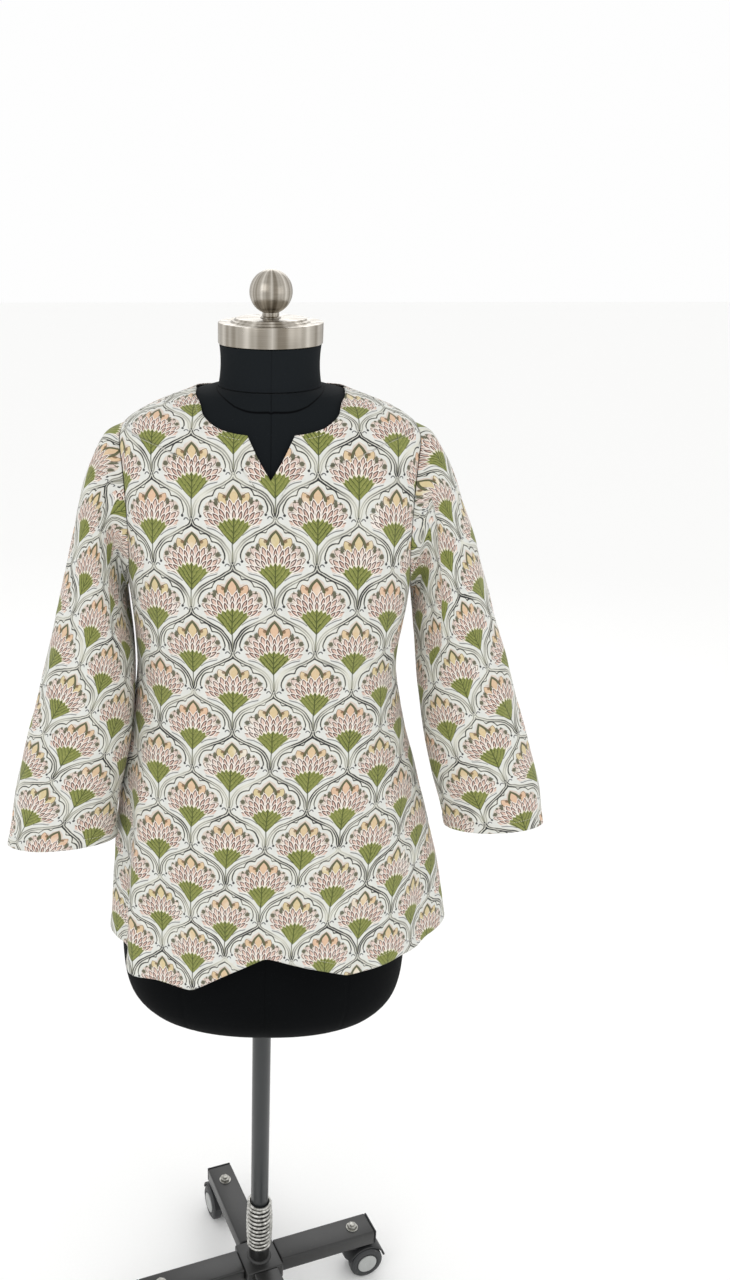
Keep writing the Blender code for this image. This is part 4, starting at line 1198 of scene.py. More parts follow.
@dataclass(frozen=True)
class MouldedNylon(Finish):
    """Injection-moulded nylon with a spark-eroded grain, scuffed pale where it meets the floor and shoes."""

    scuff: str = "#5A5A58"

    def build(self) -> Material:
        """The material, its moulded grain 0.8 mm across."""
        material, tree, surface = self.begin()
        place = add_node(tree, "TexCoord").outputs["Object"]
        grain = add_node(tree, "TexVoronoi", {"feature": "SMOOTH_F1"}, {"Vector": place, "Scale": 1250.0})
        scuffs = add_node(
            tree, "TexNoise", links={"Vector": place, "Scale": 140.0, "Detail": 6.0, "Roughness": 0.7}
        )
        scuffed = Wire(tree, scuffs.outputs[0]).ramp(7.0, -4.2)
        tint = add_node(
            tree, "Mix", COLOURS, {0: scuffed * 0.6, 6: linear(self.colour), 7: linear(self.scuff)}
        )
        tree.links.new(tint.outputs[2], surface.inputs["Base Color"])
        rough = scuffed.scaled(0.2, self.roughness)
        tree.links.new(rough.socket, surface.inputs["Roughness"])
        bump = add_node(
            tree, "Bump", links={"Height": grain.outputs["Distance"], "Strength": 0.15, "Distance": 0.0003}
        )
        tree.links.new(bump.outputs[0], surface.inputs["Normal"])
        return material


# The tunic


def hem_height(angle: np.ndarray) -> np.ndarray:
    """The hem's height, its corners a little rounded."""
    angles, heights = np.array(HEM_CORNERS, float).T
    spread = [np.interp(np.mod(angle + off, 360.0), angles, heights) for off in (-1.2, -0.4, 0.4, 1.2)]
    return np.mean(spread, axis=0)


def neck_height(angle: np.ndarray) -> np.ndarray:
    """The neckline's height, smooth but for the notch."""
    rows = np.array(NECKLINE, float)
    height = np.interp(angle, rows[:, 0], rows[:, 1])
    for low, high in ((0.0, NOTCH[0]), (NOTCH[2], 360.0)):
        part = (rows[:, 0] >= low) & (rows[:, 0] <= high)
        inside = (angle >= low) & (angle <= high)
        smooth = smooth_curve(rows[part, 0], rows[part, 1], angle)
        height = np.where(inside, smooth, height)
    return height


@dataclass(frozen=True)
class PrintChart:
    """The print's coordinates on a body panel: lengths along the cloth from the panel's centre line.

    centre is the angle of that line, start_z the height that is 0 there, shift where the print starts,
    sag how much lower its rows hang, by angle, and drift how far its columns lean aside, by height.
    """

    first: float
    last: float
    centre: float
    start_z: float
    shift: tuple[float, float] = (0.0, 0.0)
    sag: tuple[tuple[float, float], ...] = ((0.0, 0.0),)
    drift: tuple[tuple[float, float], ...] = ((0.0, 0.0),)

    def at(self, angle: np.ndarray, z: np.ndarray) -> np.ndarray:
        """The print's coordinates.

        Args:
            angle: angles in degrees.
            z: heights.

        Returns:
            Metres across and up, along the last axis.
        """
        angles = np.linspace(self.first - 30, self.last + 30, 481)
        heights = np.linspace(0.640, 1.353, 290)
        table = drape(*np.meshgrid(angles, heights, indexing="xy"))
        across = distance_along(table, 1)
        middle = int(np.argmin(np.abs(angles - self.centre)))
        across -= across[:, middle : middle + 1]
        up = distance_along(table, 0)
        level = int(np.argmin(np.abs(heights - self.start_z)))
        up -= up[level : level + 1, :]
        column = np.interp(angle, angles, np.arange(len(angles)))
        row = np.interp(z, heights, np.arange(len(heights)))
        c = np.clip(column.astype(int), 0, len(angles) - 2)
        r = np.clip(row.astype(int), 0, len(heights) - 2)
        fc = column - c
        fr = row - r
        read = []
        for values in (across, up):
            low = values[r, c] * (1 - fc) + values[r, c + 1] * fc
            high = values[r + 1, c] * (1 - fc) + values[r + 1, c + 1] * fc
            read.append(low * (1 - fr) + high * fr)
        squeeze = np.interp(z, [0.735, 0.834, 0.95], [1.128, 1.051, 1.0])
        sag = np.interp(angle, [place for place, _ in self.sag], [drop for _, drop in self.sag])
        aside = np.interp(z, [height for height, _ in self.drift], [way for _, way in self.drift])
        return np.stack(
            [-read[0] * squeeze + self.shift[0] + aside, read[1] + self.shift[1] + sag], axis=-1
        )


@dataclass(frozen=True)
class TunicPanel:
    """The front or the back of the body: one cut piece from side seam to side seam, up to the shoulders."""

    name: str
    node: str
    first: float
    last: float
    widths: tuple[float, float]
    chart: PrintChart
    creases: tuple[Crease, ...]
    flat: tuple[float, float]
    skirt_rows: int = 128
    armhole_rows: int = 66
    shoulder_rows: int = 16
    column_step: float = 0.95
    hem_fold: float = 13.0 * MM
    neck_fold: float = 7.0 * MM

    def columns(self) -> np.ndarray:
        """Angles of the columns: each corner of the hem and notch, and even steps between."""
        marks = {self.first, self.last, *NOTCH, *[angle for angle, _ in HEM_CORNERS]}
        inside = sorted(mark for mark in marks if self.first <= mark <= self.last)
        angles = [float(inside[0])]
        for low, high in zip(inside, inside[1:]):
            steps = math.ceil((high - low) / self.column_step)
            angles += [low + (high - low) * (step + 1) / steps for step in range(steps)]
        return np.array(angles)

    def side(self, hem_z: float, seam: float, width: float) -> np.ndarray:
        """Angle and height down a side edge: side seam, armhole and shoulder seam."""
        skirt = np.linspace(hem_z, UNDERARM_Z, self.skirt_rows, endpoint=False)
        turn = np.linspace(180.0, 0.0, self.armhole_rows, endpoint=False)
        hole = np.stack(armhole_chart(turn, seam, width), axis=1)
        shoulder = np.linspace(SHOULDER_TIP_Z, NECK_POINT_Z, self.shoulder_rows + 1)
        return np.concatenate(
            [
                np.stack([np.full_like(skirt, seam), skirt], axis=1),
                hole,
                np.stack([np.full_like(shoulder, seam), shoulder], axis=1),
            ]
        )

    def surface(self) -> tuple[np.ndarray, np.ndarray, np.ndarray]:
        """The panel's outer skin.

        Returns:
            Points, outward normals and print coordinates, rows by columns.
        """
        hem_angles = self.columns()
        ends = hem_height(np.array([self.first, self.last]))
        start = self.side(ends[0], self.first, self.widths[0])
        end = self.side(ends[1], self.last, self.widths[1])
        share = (hem_angles - self.first) / (self.last - self.first)
        low = ends[0] + share * (ends[1] - ends[0])
        angle = start[:, 0:1] + share * (end[:, 0:1] - start[:, 0:1])
        z = start[:, 1:2] + share * (end[:, 1:2] - start[:, 1:2])
        height = (start[:, 1:2] + end[:, 1:2] - ends.sum()) / (2.0 * NECK_POINT_Z - ends.sum())
        z = z + (1.0 - height) * (hem_height(hem_angles) - low)
        z = z + height * (neck_height(hem_angles) - NECK_POINT_Z)
        points = drape(angle, z)
        normals = drape_normal(angle, z)
        print_at = self.chart.at(angle, z)

        # distances along the cloth from the hem, the neck and the side edges
        from_hem = distance_along(points, 0)
        from_neck = from_hem[-1:] - from_hem
        from_side = distance_along(points, 1)
        from_side = np.minimum(from_side, from_side[:, -1:] - from_side)

        lift = np.full(angle.shape, REST_GAP + CLOTH)
        lift += 0.5 * MM * smooth_step((self.hem_fold + 1.5 * MM - from_hem) / (3 * MM))
        lift -= 0.45 * MM * np.exp(-(((from_hem - self.hem_fold) / (1.6 * MM)) ** 2))
        lift += 0.35 * MM * smooth_step((self.neck_fold + 1.5 * MM - from_neck) / (3 * MM))
        lift -= 0.3 * MM * np.exp(-(((from_neck - self.neck_fold) / (1.5 * MM)) ** 2))
        lift -= 0.7 * MM * np.exp(-((from_side / (2.2 * MM)) ** 2))
        lift += crease_height(self.creases, angle, z, (0.0026, 1.0))
        ease = smooth_step((1.13 - z) / 0.25)
        lift += (0.15 + 0.55 * ease) * MM * waver(print_at[..., 0], print_at[..., 1], 0.075, 7)
        lift += 0.18 * MM * waver(print_at[..., 0], print_at[..., 1], 0.026, 11)
        return points + normals * lift[..., None], normals, print_at

    def line_at(self, grid: np.ndarray, distance: float, from_top: bool) -> np.ndarray:
        """A line across a table of points at a distance along the cloth from its bottom or top edge."""
        table = grid[::-1] if from_top else grid
        lengths = distance_along(table, 0)
        line = [
            [np.interp(distance, lengths[:, column], table[:, column, axis]) for axis in range(3)]
            for column in range(table.shape[1])
        ]
        return np.array(line)

    def build(self, cloth: list[Material], thread: Material, stitching: Stitching) -> Object:
        """Makes the panel with its hem and neck stitches.

        Args:
            cloth: materials of the face and the back of the cloth.
            thread: the sewing thread.
            stitching: the stitch.

        Returns:
            The panel's cloth.
        """
        points, normals, print_at = self.surface()
        piece = grid_cloth(self.name, points, print_at, closed=False)
        for finish in cloth:
            piece.data.materials.append(finish)
        give_wall(piece, WALL)
        show(piece, Body.STAND.value, Slot.COTTON, self.node)
        hem = self.line_at(points, self.hem_fold, from_top=False)
        paths = [(hem, normals[HEM_ROW])]
        neck = self.line_at(points, self.neck_fold - 1.5 * MM, from_top=True)
        # the stitches stop just short of the notch's three corners
        left, tip, right = NOTCH
        angles = self.columns()
        spans = [(self.first, self.last)]
        if self.first < tip < self.last:
            spans = [
                (self.first, left - 1.5), (left + 1.2, tip - 0.8), (tip + 0.8, right - 1.2),
                (right + 1.5, self.last),
            ]
        for low, high in spans:
            inside = (angles >= low) & (angles <= high)
            paths.append((neck[inside], normals[NECK_ROW][inside]))
        stitches = stitching.sew(f"{self.name}_stitches", paths, thread)
        show(stitches, Body.STAND.value, Slot.COTTON)
        area = sheet_area(points)
        LOG.info("%s: %.4f square metres of cloth", self.name, area)
        return piece


@dataclass(frozen=True)
class TunicSleeve:
    """A straight three-quarter sleeve: a tube from the armhole to the cuff, seamed under the arm.

    side is 1 at +X. shift and tilt place its print. pleat is where a strip of print is folded away: turn and
    section at its start and at its end, and its width.
    """

    name: str
    node: str
    side: int
    rings: tuple[tuple[float, ...], ...]
    shift: tuple[float, float]
    tilt: float
    pleat: tuple[tuple[float, float], tuple[float, float], float]
    creases: tuple[Crease, ...]
    flat: tuple[float, float]
    around: int = 150
    along: int = 170
    cuff_fold: float = 13.0 * MM

    def sections(self, turn: np.ndarray) -> np.ndarray:
        """The sleeve's sections from the armhole to the cuff.

        Args:
            turn: degrees round the sleeve from its top line, 90 at the front.

        Returns:
            Points, sections by turns.
        """
        sine = np.sin(np.radians(turn))
        cosine = np.cos(np.radians(turn))
        width = np.where(sine >= 0, ARMHOLE_FRONT_DEG, ARMHOLE_BACK_DEG)
        middle_angle = 0.0 if self.side > 0 else 180.0
        angle, z = armhole_chart(turn, middle_angle, self.side * width)
        top = drape(angle, z) + drape_normal(angle, z) * (REST_GAP + CLOTH)
        top[:, 0] += self.side * SLEEVE_GAP
        table = [top]
        for inner_x, inner_z, outer_x, outer_z, y, depth, rise in self.rings:
            x = (outer_x + inner_x) / 2 + cosine * (outer_x - inner_x) / 2
            height = (outer_z + inner_z) / 2 + cosine * (outer_z - inner_z) / 2 + rise * sine
            table.append(np.stack([self.side * x, y - sine * depth, height], axis=1))
        return np.array(table)

    def surface(self) -> tuple[np.ndarray, np.ndarray, np.ndarray]:
        """The sleeve's outer skin.

        Returns:
            Points, outward normals and print coordinates, rows from the armhole by columns round.
        """
        turn = np.linspace(-180.0, 180.0, self.around + 1)
        sections = self.sections(turn)
        at = np.linspace(0.0, len(self.rings), self.along + 1)
        points = smooth_curve(np.arange(len(sections)), sections, at)
        from_top = distance_along(points, 0)
        from_cuff = from_top[-1:] - from_top
        around = distance_along(points, 1)
        middle = self.around // 2
        across = around - around[:, middle : middle + 1]
        # the sleeve hangs twisted, so its print leans
        lean = math.radians(self.tilt)
        level = -across * self.side
        # a narrow pleat ironed into it hides a strip of the print
        (first_turn, first), (last_turn, last), hidden = self.pleat
        rows = at[:, None]
        depth = smooth_step((rows - first) / 0.5) * smooth_step((last - rows) / 0.5)
        past = turn - np.interp(rows, [first, last], [first_turn, last_turn])
        level = level - self.side * hidden * depth * smooth_step(past / 2.4 + 0.5)
        print_at = np.stack(
            [
                level * math.cos(lean) - from_cuff * math.sin(lean) + self.shift[0],
                level * math.sin(lean) + from_cuff * math.cos(lean) + self.shift[1],
            ],
            axis=-1,
        )

        ring = np.concatenate([points[:, -2:-1], points, points[:, 1:2]], axis=1)
        turned = ring[:, 2:] - ring[:, :-2]
        down = np.gradient(points, axis=0)
        normals = unit(np.cross(turned, down)) * self.side
        lift = crease_height(
            self.creases, np.broadcast_to(turn, from_cuff.shape), at[:, None] + 0 * turn, (0.001, 0.055)
        )
        inside = np.broadcast_to(np.cos(np.radians(turn)), from_cuff.shape)
        near_body = smooth_step((0.35 - inside) / 0.5)
        rise = smooth_step(at / 1.2)[:, None]
        lift += rise * (1.0 - 0.7 * near_body) * 0.7 * MM * waver(across, from_cuff, 0.07, 23 + self.side)
        lift += rise * 0.2 * MM * waver(across, from_cuff, 0.024, 31 + self.side)
        lift = np.where((near_body > 0.5) & (lift > 0.1 * MM), 0.1 * MM, lift)
        lift += 0.45 * MM * smooth_step((self.cuff_fold + 1.5 * MM - from_cuff) / (3 * MM))
        lift -= 0.4 * MM * np.exp(-(((from_cuff - self.cuff_fold) / (1.6 * MM)) ** 2))
        lift -= 0.6 * MM * np.exp(-((from_top / (2.0 * MM)) ** 2))
        seam = np.minimum(around, around[:, -1:] - around)
        lift -= 0.6 * MM * np.exp(-((seam / (2.2 * MM)) ** 2))
        lift[:, -1] = lift[:, 0]
        return points + normals * lift[..., None], normals, print_at

    def build(self, cloth: list[Material], thread: Material, stitching: Stitching) -> Object:
        """Makes the sleeve with its cuff stitches.

        Args:
            cloth: materials of the face and the back of the cloth.
            thread: the sewing thread.
            stitching: the stitch.

        Returns:
            The sleeve's cloth.
        """
        points, normals, print_at = self.surface()
        piece = grid_cloth(self.name, points, print_at, closed=True)
        for finish in cloth:
            piece.data.materials.append(finish)
        give_wall(piece, WALL)
        show(piece, Body.STAND.value, Slot.COTTON, self.node)
        steps = np.linalg.norm(np.diff(points[::-1], axis=0), axis=-1)
        row = int(np.argmin(np.abs(np.cumsum(steps, axis=0).mean(axis=1) - self.cuff_fold)))
        path = points[::-1][row + 1]
        stitches = stitching.sew(f"{self.name}_stitches", [(path, normals[::-1][row + 1])], thread)
        show(stitches, Body.STAND.value, Slot.COTTON)
        area = sheet_area(points)
        LOG.info("%s: %.4f square metres of cloth", self.name, area)
        return piece


@dataclass(frozen=True)
class Tunic:
    """The whole garment: front, back and two sleeves."""

    FRONT_CREASES = (
        Crease((26, 1.190), (44, 1.120), 7.0, -0.9), Crease((20, 1.150), (38, 1.075), 7.0, 1.0),
        Crease((152, 1.185), (136, 1.110), 7.0, -0.8), Crease((160, 1.130), (142, 1.060), 8.0, 0.9),
        Crease((40, 1.000), (66, 0.930), 12.0, 1.2), Crease((120, 0.990), (100, 0.900), 12.0, -1.2),
        Crease((74, 0.900), (62, 0.740), 11.0, 1.4), Crease((112, 0.860), (122, 0.720), 10.0, 1.5),
        Crease((90, 0.880), (80, 0.760), 12.0, -1.4), Crease((8, 1.060), (24, 0.980), 8.0, 1.0),
        Crease((172, 1.060), (150, 0.985), 7.0, 1.0), Crease((166, 1.020), (152, 0.950), 6.0, -1.0),
    )
    BACK_CREASES = (
        Crease((206, 1.180), (226, 1.110), 8.0, -0.9), Crease((334, 1.180), (314, 1.110), 8.0, -0.9),
        Crease((238, 1.030), (270, 1.010), 9.0, 1.2), Crease((302, 1.035), (272, 1.005), 9.0, 1.0),
        Crease((246, 0.985), (292, 0.970), 10.0, -1.2), Crease((262, 0.950), (256, 0.780), 12.0, 1.5),
        Crease((282, 0.940), (290, 0.760), 12.0, 1.3), Crease((196, 0.960), (214, 0.840), 9.0, 1.2),
        Crease((344, 0.960), (326, 0.840), 9.0, 1.2),
    )
    COLUMNS_LEAN = ((0.74, 0.015), (0.82, 0.010), (0.90, 0.005), (1.0, 0.0))
    ROWS_HANG = (
        (0, 0.030), (30, 0.0205), (60, 0.008), (90, 0.0025), (120, 0.006), (145, 0.0125), (180, 0.020)
    )
    RIGHT_CREASES = (
        Crease((66, 0.6), (120, 3.7), 2.0, 1.5), Crease((120, 0.8), (165, 2.0), 6.0, -2.2),
        Crease((100, 1.2), (150, 2.5), 5.0, 1.6), Crease((84, 1.5), (140, 3.1), 6.0, -1.8),
        Crease((64, 1.1), (110, 1.9), 5.0, -1.3), Crease((30, 1.3), (74, 1.7), 4.0, 0.9),
        Crease((60, 4.3), (118, 4.9), 8.0, -1.2), Crease((20, 5.6), (90, 6.3), 9.0, 1.1),
        Crease((230, 1.2), (300, 2.4), 7.0, -1.8), Crease((-60, 1.0), (-130, 2.2), 6.0, -1.9),
        Crease((-40, 1.7), (-110, 3.0), 7.0, 1.5), Crease((-30, 4.2), (-95, 5.0), 9.0, -1.3),
    )
    LEFT_CREASES = (
        Crease((98, 0.4), (112, 3.2), 2.2, 1.4), Crease((106, 0.6), (121, 3.0), 3.0, -1.4),
        Crease((118, 0.9), (160, 2.1), 6.0, -1.8), Crease((100, 1.7), (146, 3.2), 7.0, 1.2),
        Crease((40, 1.2), (70, 1.8), 4.0, 1.0), Crease((90, 3.8), (130, 4.8), 8.0, -1.4),
        Crease((20, 4.6), (80, 5.6), 10.0, 1.2), Crease((40, 6.2), (104, 6.9), 9.0, -1.0),
        Crease((-60, 1.0), (-130, 2.2), 6.0, -1.9), Crease((-44, 1.8), (-112, 3.1), 7.0, 1.5),
        Crease((-30, 4.3), (-95, 5.2), 9.0, -1.3),
    )

    def build(self) -> None:
        """Makes the cloth pieces with their print and stitches."""
        face = BlockPrint("block-printed cotton cambric", "#E6E5E0", 0.86).build()
        back = BlockPrint(
            "block-printed cotton cambric, back of the cloth", "#DEDBD2", 0.9, strength=0.5
        ).build()
        thread = CottonThread("mercerised cotton thread", "#ECE8DD", 0.55).build()
        stitching = Stitching()
        pieces = (
            TunicPanel(
                "tunic_front_cloth", "tunic_front", 0.0, 180.0, (ARMHOLE_FRONT_DEG, -ARMHOLE_FRONT_DEG),
                PrintChart(0.0, 180.0, 90.0, 1.0969, (-0.0048, 0.0), self.ROWS_HANG, self.COLUMNS_LEAN),
                self.FRONT_CREASES, (0.640, 0.720),
            ),
            TunicPanel(
                "tunic_back_cloth", "tunic_back", 180.0, 360.0, (ARMHOLE_BACK_DEG, -ARMHOLE_BACK_DEG),
                PrintChart(180.0, 360.0, 270.0, 1.0969), self.BACK_CREASES, (0.640, 0.720),
            ),
            TunicSleeve(
                "sleeve_right_cloth", "sleeve_right", 1, RIGHT_SLEEVE, (0.0028, 0.0087), -15.0,
                ((66.0, 0.6), (120.0, 3.7), 0.024), self.RIGHT_CREASES, (0.400, 0.520),
            ),
            TunicSleeve(
                "sleeve_left_cloth", "sleeve_left", -1, LEFT_SLEEVE, (-0.0257, 0.0222), 22.0,
                ((98.0, 0.4), (112.0, 3.2), 0.022), self.LEFT_CREASES, (0.400, 0.540),
            ),
        )
        for piece in pieces:
            piece.build([face, back], thread, stitching)


# The form and the stand


def spun(profile: list[tuple[float, float]], steps: int, closed: bool = False) -> BMesh:
    """A skin turned about Z from a profile.

    Args:
        profile: radius and height of its points.
        steps: faces round.
        closed: whether the last point joins the first.

    Returns:
        The bmesh, its normals outwards.
    """
    skin = bmesh.new()
    verts = [skin.verts.new((radius, 0.0, z)) for radius, z in profile]
    ends = verts[1:] + verts[:1] if closed else verts[1:]
    edges = [skin.edges.new(pair) for pair in zip(verts, ends)]
    bmesh.ops.spin(
        skin,
        geom=verts + edges,
        cent=(0, 0, 0),
        axis=(0, 0, 1),
        angle=math.tau,
        steps=steps,
        use_merge=True,
    )
    bmesh.ops.remove_doubles(skin, verts=skin.verts, dist=0.005 * MM)
    bmesh.ops.recalc_face_normals(skin, faces=skin.faces)
    return skin


def rounded(profile: list[tuple[float, float]], radius: float, steps: int = 3) -> list[tuple[float, float]]:
    """A profile with its corners rounded, except for its two ends."""
    made = [profile[0]]
    for before, corner, after in zip(profile, profile[1:], profile[2:]):
        start = Vector(before) - Vector(corner)
        end = Vector(after) - Vector(corner)
        cut = min(radius, start.length * 0.45, end.length * 0.45)
        a = Vector(corner) + start.normalized() * cut
        b = Vector(corner) + end.normalized() * cut
        for step in range(steps + 1):
            t = step / steps
            place = a * (1 - t) ** 2 + Vector(corner) * 2 * t * (1 - t) + b * t**2
            made.append((place.x, place.y))
    made.append(profile[-1])
    return made


def bevelled(shape: BMesh, edges: list[bmesh.types.BMEdge], offset: float, segments: int) -> None:
    """Rounds the edges of a bmesh."""
    bmesh.ops.bevel(
        shape, geom=edges, offset=offset, segments=segments, profile=0.5, affect="EDGES", material=-1
    )


def moved(shape: BMesh, place: Matrix | Vector) -> BMesh:
    """The bmesh moved by a vector or a matrix."""
    matrix = place if isinstance(place, Matrix) else Matrix.Translation(place)
    bmesh.ops.transform(shape, matrix=matrix, verts=shape.verts)
    return shape


@dataclass(frozen=True)
class DressForm:
    """The limbless torso in its stretched cover, with its sewn seams, and the covered neck."""

    columns: int = 160
    rows: int = 150
    pole_hole: float = 12.8 * MM
    hole_depth: float = 60.0 * MM
    seam_width: float = 1.6 * MM
    seam_depth: float = 0.55 * MM
    neck_radius: float = 55.0 * MM
    neck_foot: float = 56.5 * MM
    cap_bottom: float = 1.3985

    def seams(self, angle: np.ndarray, z: np.ndarray) -> np.ndarray:
        """How near each place is to a sewn seam, from 0 to 1: centre lines, princess lines and sides."""
        princess = 31.0 - 9.0 * smooth_step((z - 0.95) / 0.25)
        near = np.zeros_like(z)
        for middle in (
            0.0, 90.0, 180.0, 270.0, 90.0 - princess, 90.0 + princess, 270.0 - princess, 270.0 + princess
        ):
            apart = (angle - middle + 180.0) % 360.0 - 180.0
            near = np.maximum(near, np.exp(-((apart * math.pi / 180.0 * 0.13 / self.seam_width) ** 2)))
        return near

    def torso(self, cover: Material) -> Object:
        """The torso: a smooth loft through its sections, closed above and with the pole's socket below."""
        marks = [0.0, 59.0, 90.0, 121.0, 180.0, 239.0, 270.0, 301.0, 360.0]
        beside = [mark + np.array([-1.2, -0.6, 0.6, 1.2]) for mark in marks[1:-1]]
        angles = np.unique(np.concatenate([np.linspace(0, 360, self.columns + 1), *beside]))
        rings = np.array(FORM_RINGS)
        heights = np.unique(
            np.concatenate([np.linspace(rings[0, 0], rings[-1, 0], self.rows), rings[:, 0]])
        )
        sizes = smooth_curve(rings[:, 0], rings[:, 1:], heights)
        full = np.stack([sizes[:, 0], sizes[:, 0], sizes[:, 1], sizes[:, 2], sizes[:, 3]], axis=1)
        angle, z = np.meshgrid(angles, heights)
        flat = superellipse(angle, full[:, None, :] + 0 * angle[..., None])
        sunk = 1.0 - self.seam_depth * self.seams(angle, z) / np.maximum(
            np.linalg.norm(flat, axis=-1), 0.03
        )
        body = np.concatenate([flat * sunk[..., None], z[..., None]], axis=-1)
        ring = np.stack([np.cos(np.radians(angles)), -np.sin(np.radians(angles))], axis=-1)
        low = body[0]
        under = []
        for share in (0.75, 0.5, 0.25, 0.0):
            edge = low[:, :2] * share + ring * self.pole_hole * (1 - share)
            under.append(np.concatenate([edge, np.full((len(angles), 1), rings[0, 0])], axis=1))
        inner = np.concatenate(
            [ring * self.pole_hole, np.full((len(angles), 1), rings[0, 0] + self.hole_depth)], axis=1
        )
        closed_in = np.concatenate(
            [ring * 0.0, np.full((len(angles), 1), rings[0, 0] + self.hole_depth)], axis=1
        )
        high = body[-1]
        over = np.concatenate([high[:, :2] * 0.0, high[:, 2:]], axis=1)
        points = np.array([closed_in, inner, *under[::-1], *body, over])
        piece = grid_cloth("form_torso_cover", points, points[..., :2], closed=True)
        piece.data.materials.append(cover)
        piece.data.set_sharp_from_angle(angle=math.radians(50.0))
        return show(piece, Body.STAND.value, Slot.COVER, "form_torso")

    def neck(self, cover: Material) -> Object:
        """The neck, waisted a little, with a rolled edge where its cover is sewn to the torso's."""
        bottom = FORM_RINGS[-1][0] + 0.3 * MM
        top = self.cap_bottom - 0.3 * MM
        profile = [
            (0.0, bottom), (self.neck_foot - 1.2 * MM, bottom), (self.neck_foot, bottom + 1.0 * MM),
            (self.neck_foot - 0.9 * MM, bottom + 2.4 * MM),
        ]
        for step in range(13):
            share = step / 12
            bow = 1.0 - (2.0 * share - 1.0) ** 2
            low = self.neck_foot - 1.0 * MM
            radius = low + (self.neck_radius - low) * share - 1.6 * MM * bow
            profile.append((radius, bottom + 3.4 * MM + (top - bottom - 4.0 * MM) * share))
        profile += [(self.neck_radius - 0.6 * MM, top), (0.0, top)]
        neck = spun(profile, 144)
        for vert in neck.verts:
            aside = abs(vert.co.x)
            if vert.co.y < -0.03 or vert.co.y > 0.03:
                vert.co.y *= 1.0 - self.seam_depth / self.neck_radius * math.exp(
                    -((aside / self.seam_width) ** 2)
                )
        piece = to_object("form_neck_cover", moved(neck, AXIS), [cover], crease_deg=50.0)
        return show(piece, Body.STAND.value, Slot.COVER, "form_neck")

    def build(self) -> None:
        """Makes the torso and the neck."""
        cover = JerseyCover("black viscose jersey", "#040506", 0.92, seams=1.0).build()
        self.torso(cover)
        self.neck(
            JerseyCover("black viscose jersey, double on the neck", "#0E1012", 0.88, seams=0.5).build()
        )


@dataclass(frozen=True)
class NeckCap:
    """The turned nickel cap on the neck: a rim, a stepped lid and a ball on a short stem."""

    bottom: float = 1.3985
    top: float = 1.4205
    radius: float = 56.5 * MM
    disc_radius: float = 38.0 * MM
    disc_slope: float = 5.0 * MM
    disc_rise: float = 4.0 * MM
    ball_radius: float = 23.0 * MM
    ball_z: float = 1.4515
    stem_radius: float = 9.0 * MM

    def build(self) -> None:
        """Makes the cap and its ball."""
        nickel = BrushedNickel("brushed nickel plate", "#D2CCC2", 0.27).build()
        disc_top = self.top + self.disc_rise
        edge = self.disc_radius + self.disc_slope
        cap = rounded(
            [
                (0.0, self.bottom),
                (self.radius, self.bottom),
                (self.radius, self.top),
                (edge + 6.0 * MM, self.top),
                (edge + 4.5 * MM, self.top - 0.6 * MM),
                (edge, self.top - 0.4 * MM),
                (edge - 1.5 * MM, self.top + 1.6 * MM),
                (self.disc_radius + 1.0 * MM, self.top + 1.8 * MM),
                (self.disc_radius, disc_top),
                (0.0, disc_top),
            ],
            1.4 * MM,
        )
        piece = to_object("neck_cap_turned", moved(spun(cap, 144), AXIS), [nickel], crease_deg=55.0)
        show(piece, Body.STAND.value, Slot.NICKEL, "neck_cap")
        foot = disc_top + 0.3 * MM
        start = math.asin(self.stem_radius / self.ball_radius)
        ball = [
            (0.0, foot), (self.stem_radius + 2.2 * MM, foot),
            (self.stem_radius + 1.8 * MM, foot + 0.8 * MM), (self.stem_radius, foot + 1.6 * MM),
        ]
        for step in range(33):
            angle = start + (math.pi - start) * step / 32
            ball.append(
                (
                    max(0.0, self.ball_radius * math.sin(angle)),
                    self.ball_z - self.ball_radius * math.cos(angle),
                ),
            )
        piece = to_object("cap_ball", moved(spun(ball, 96), AXIS), [nickel], crease_deg=60.0)
        show(piece, Body.STAND.value, Slot.NICKEL, "cap_knob")


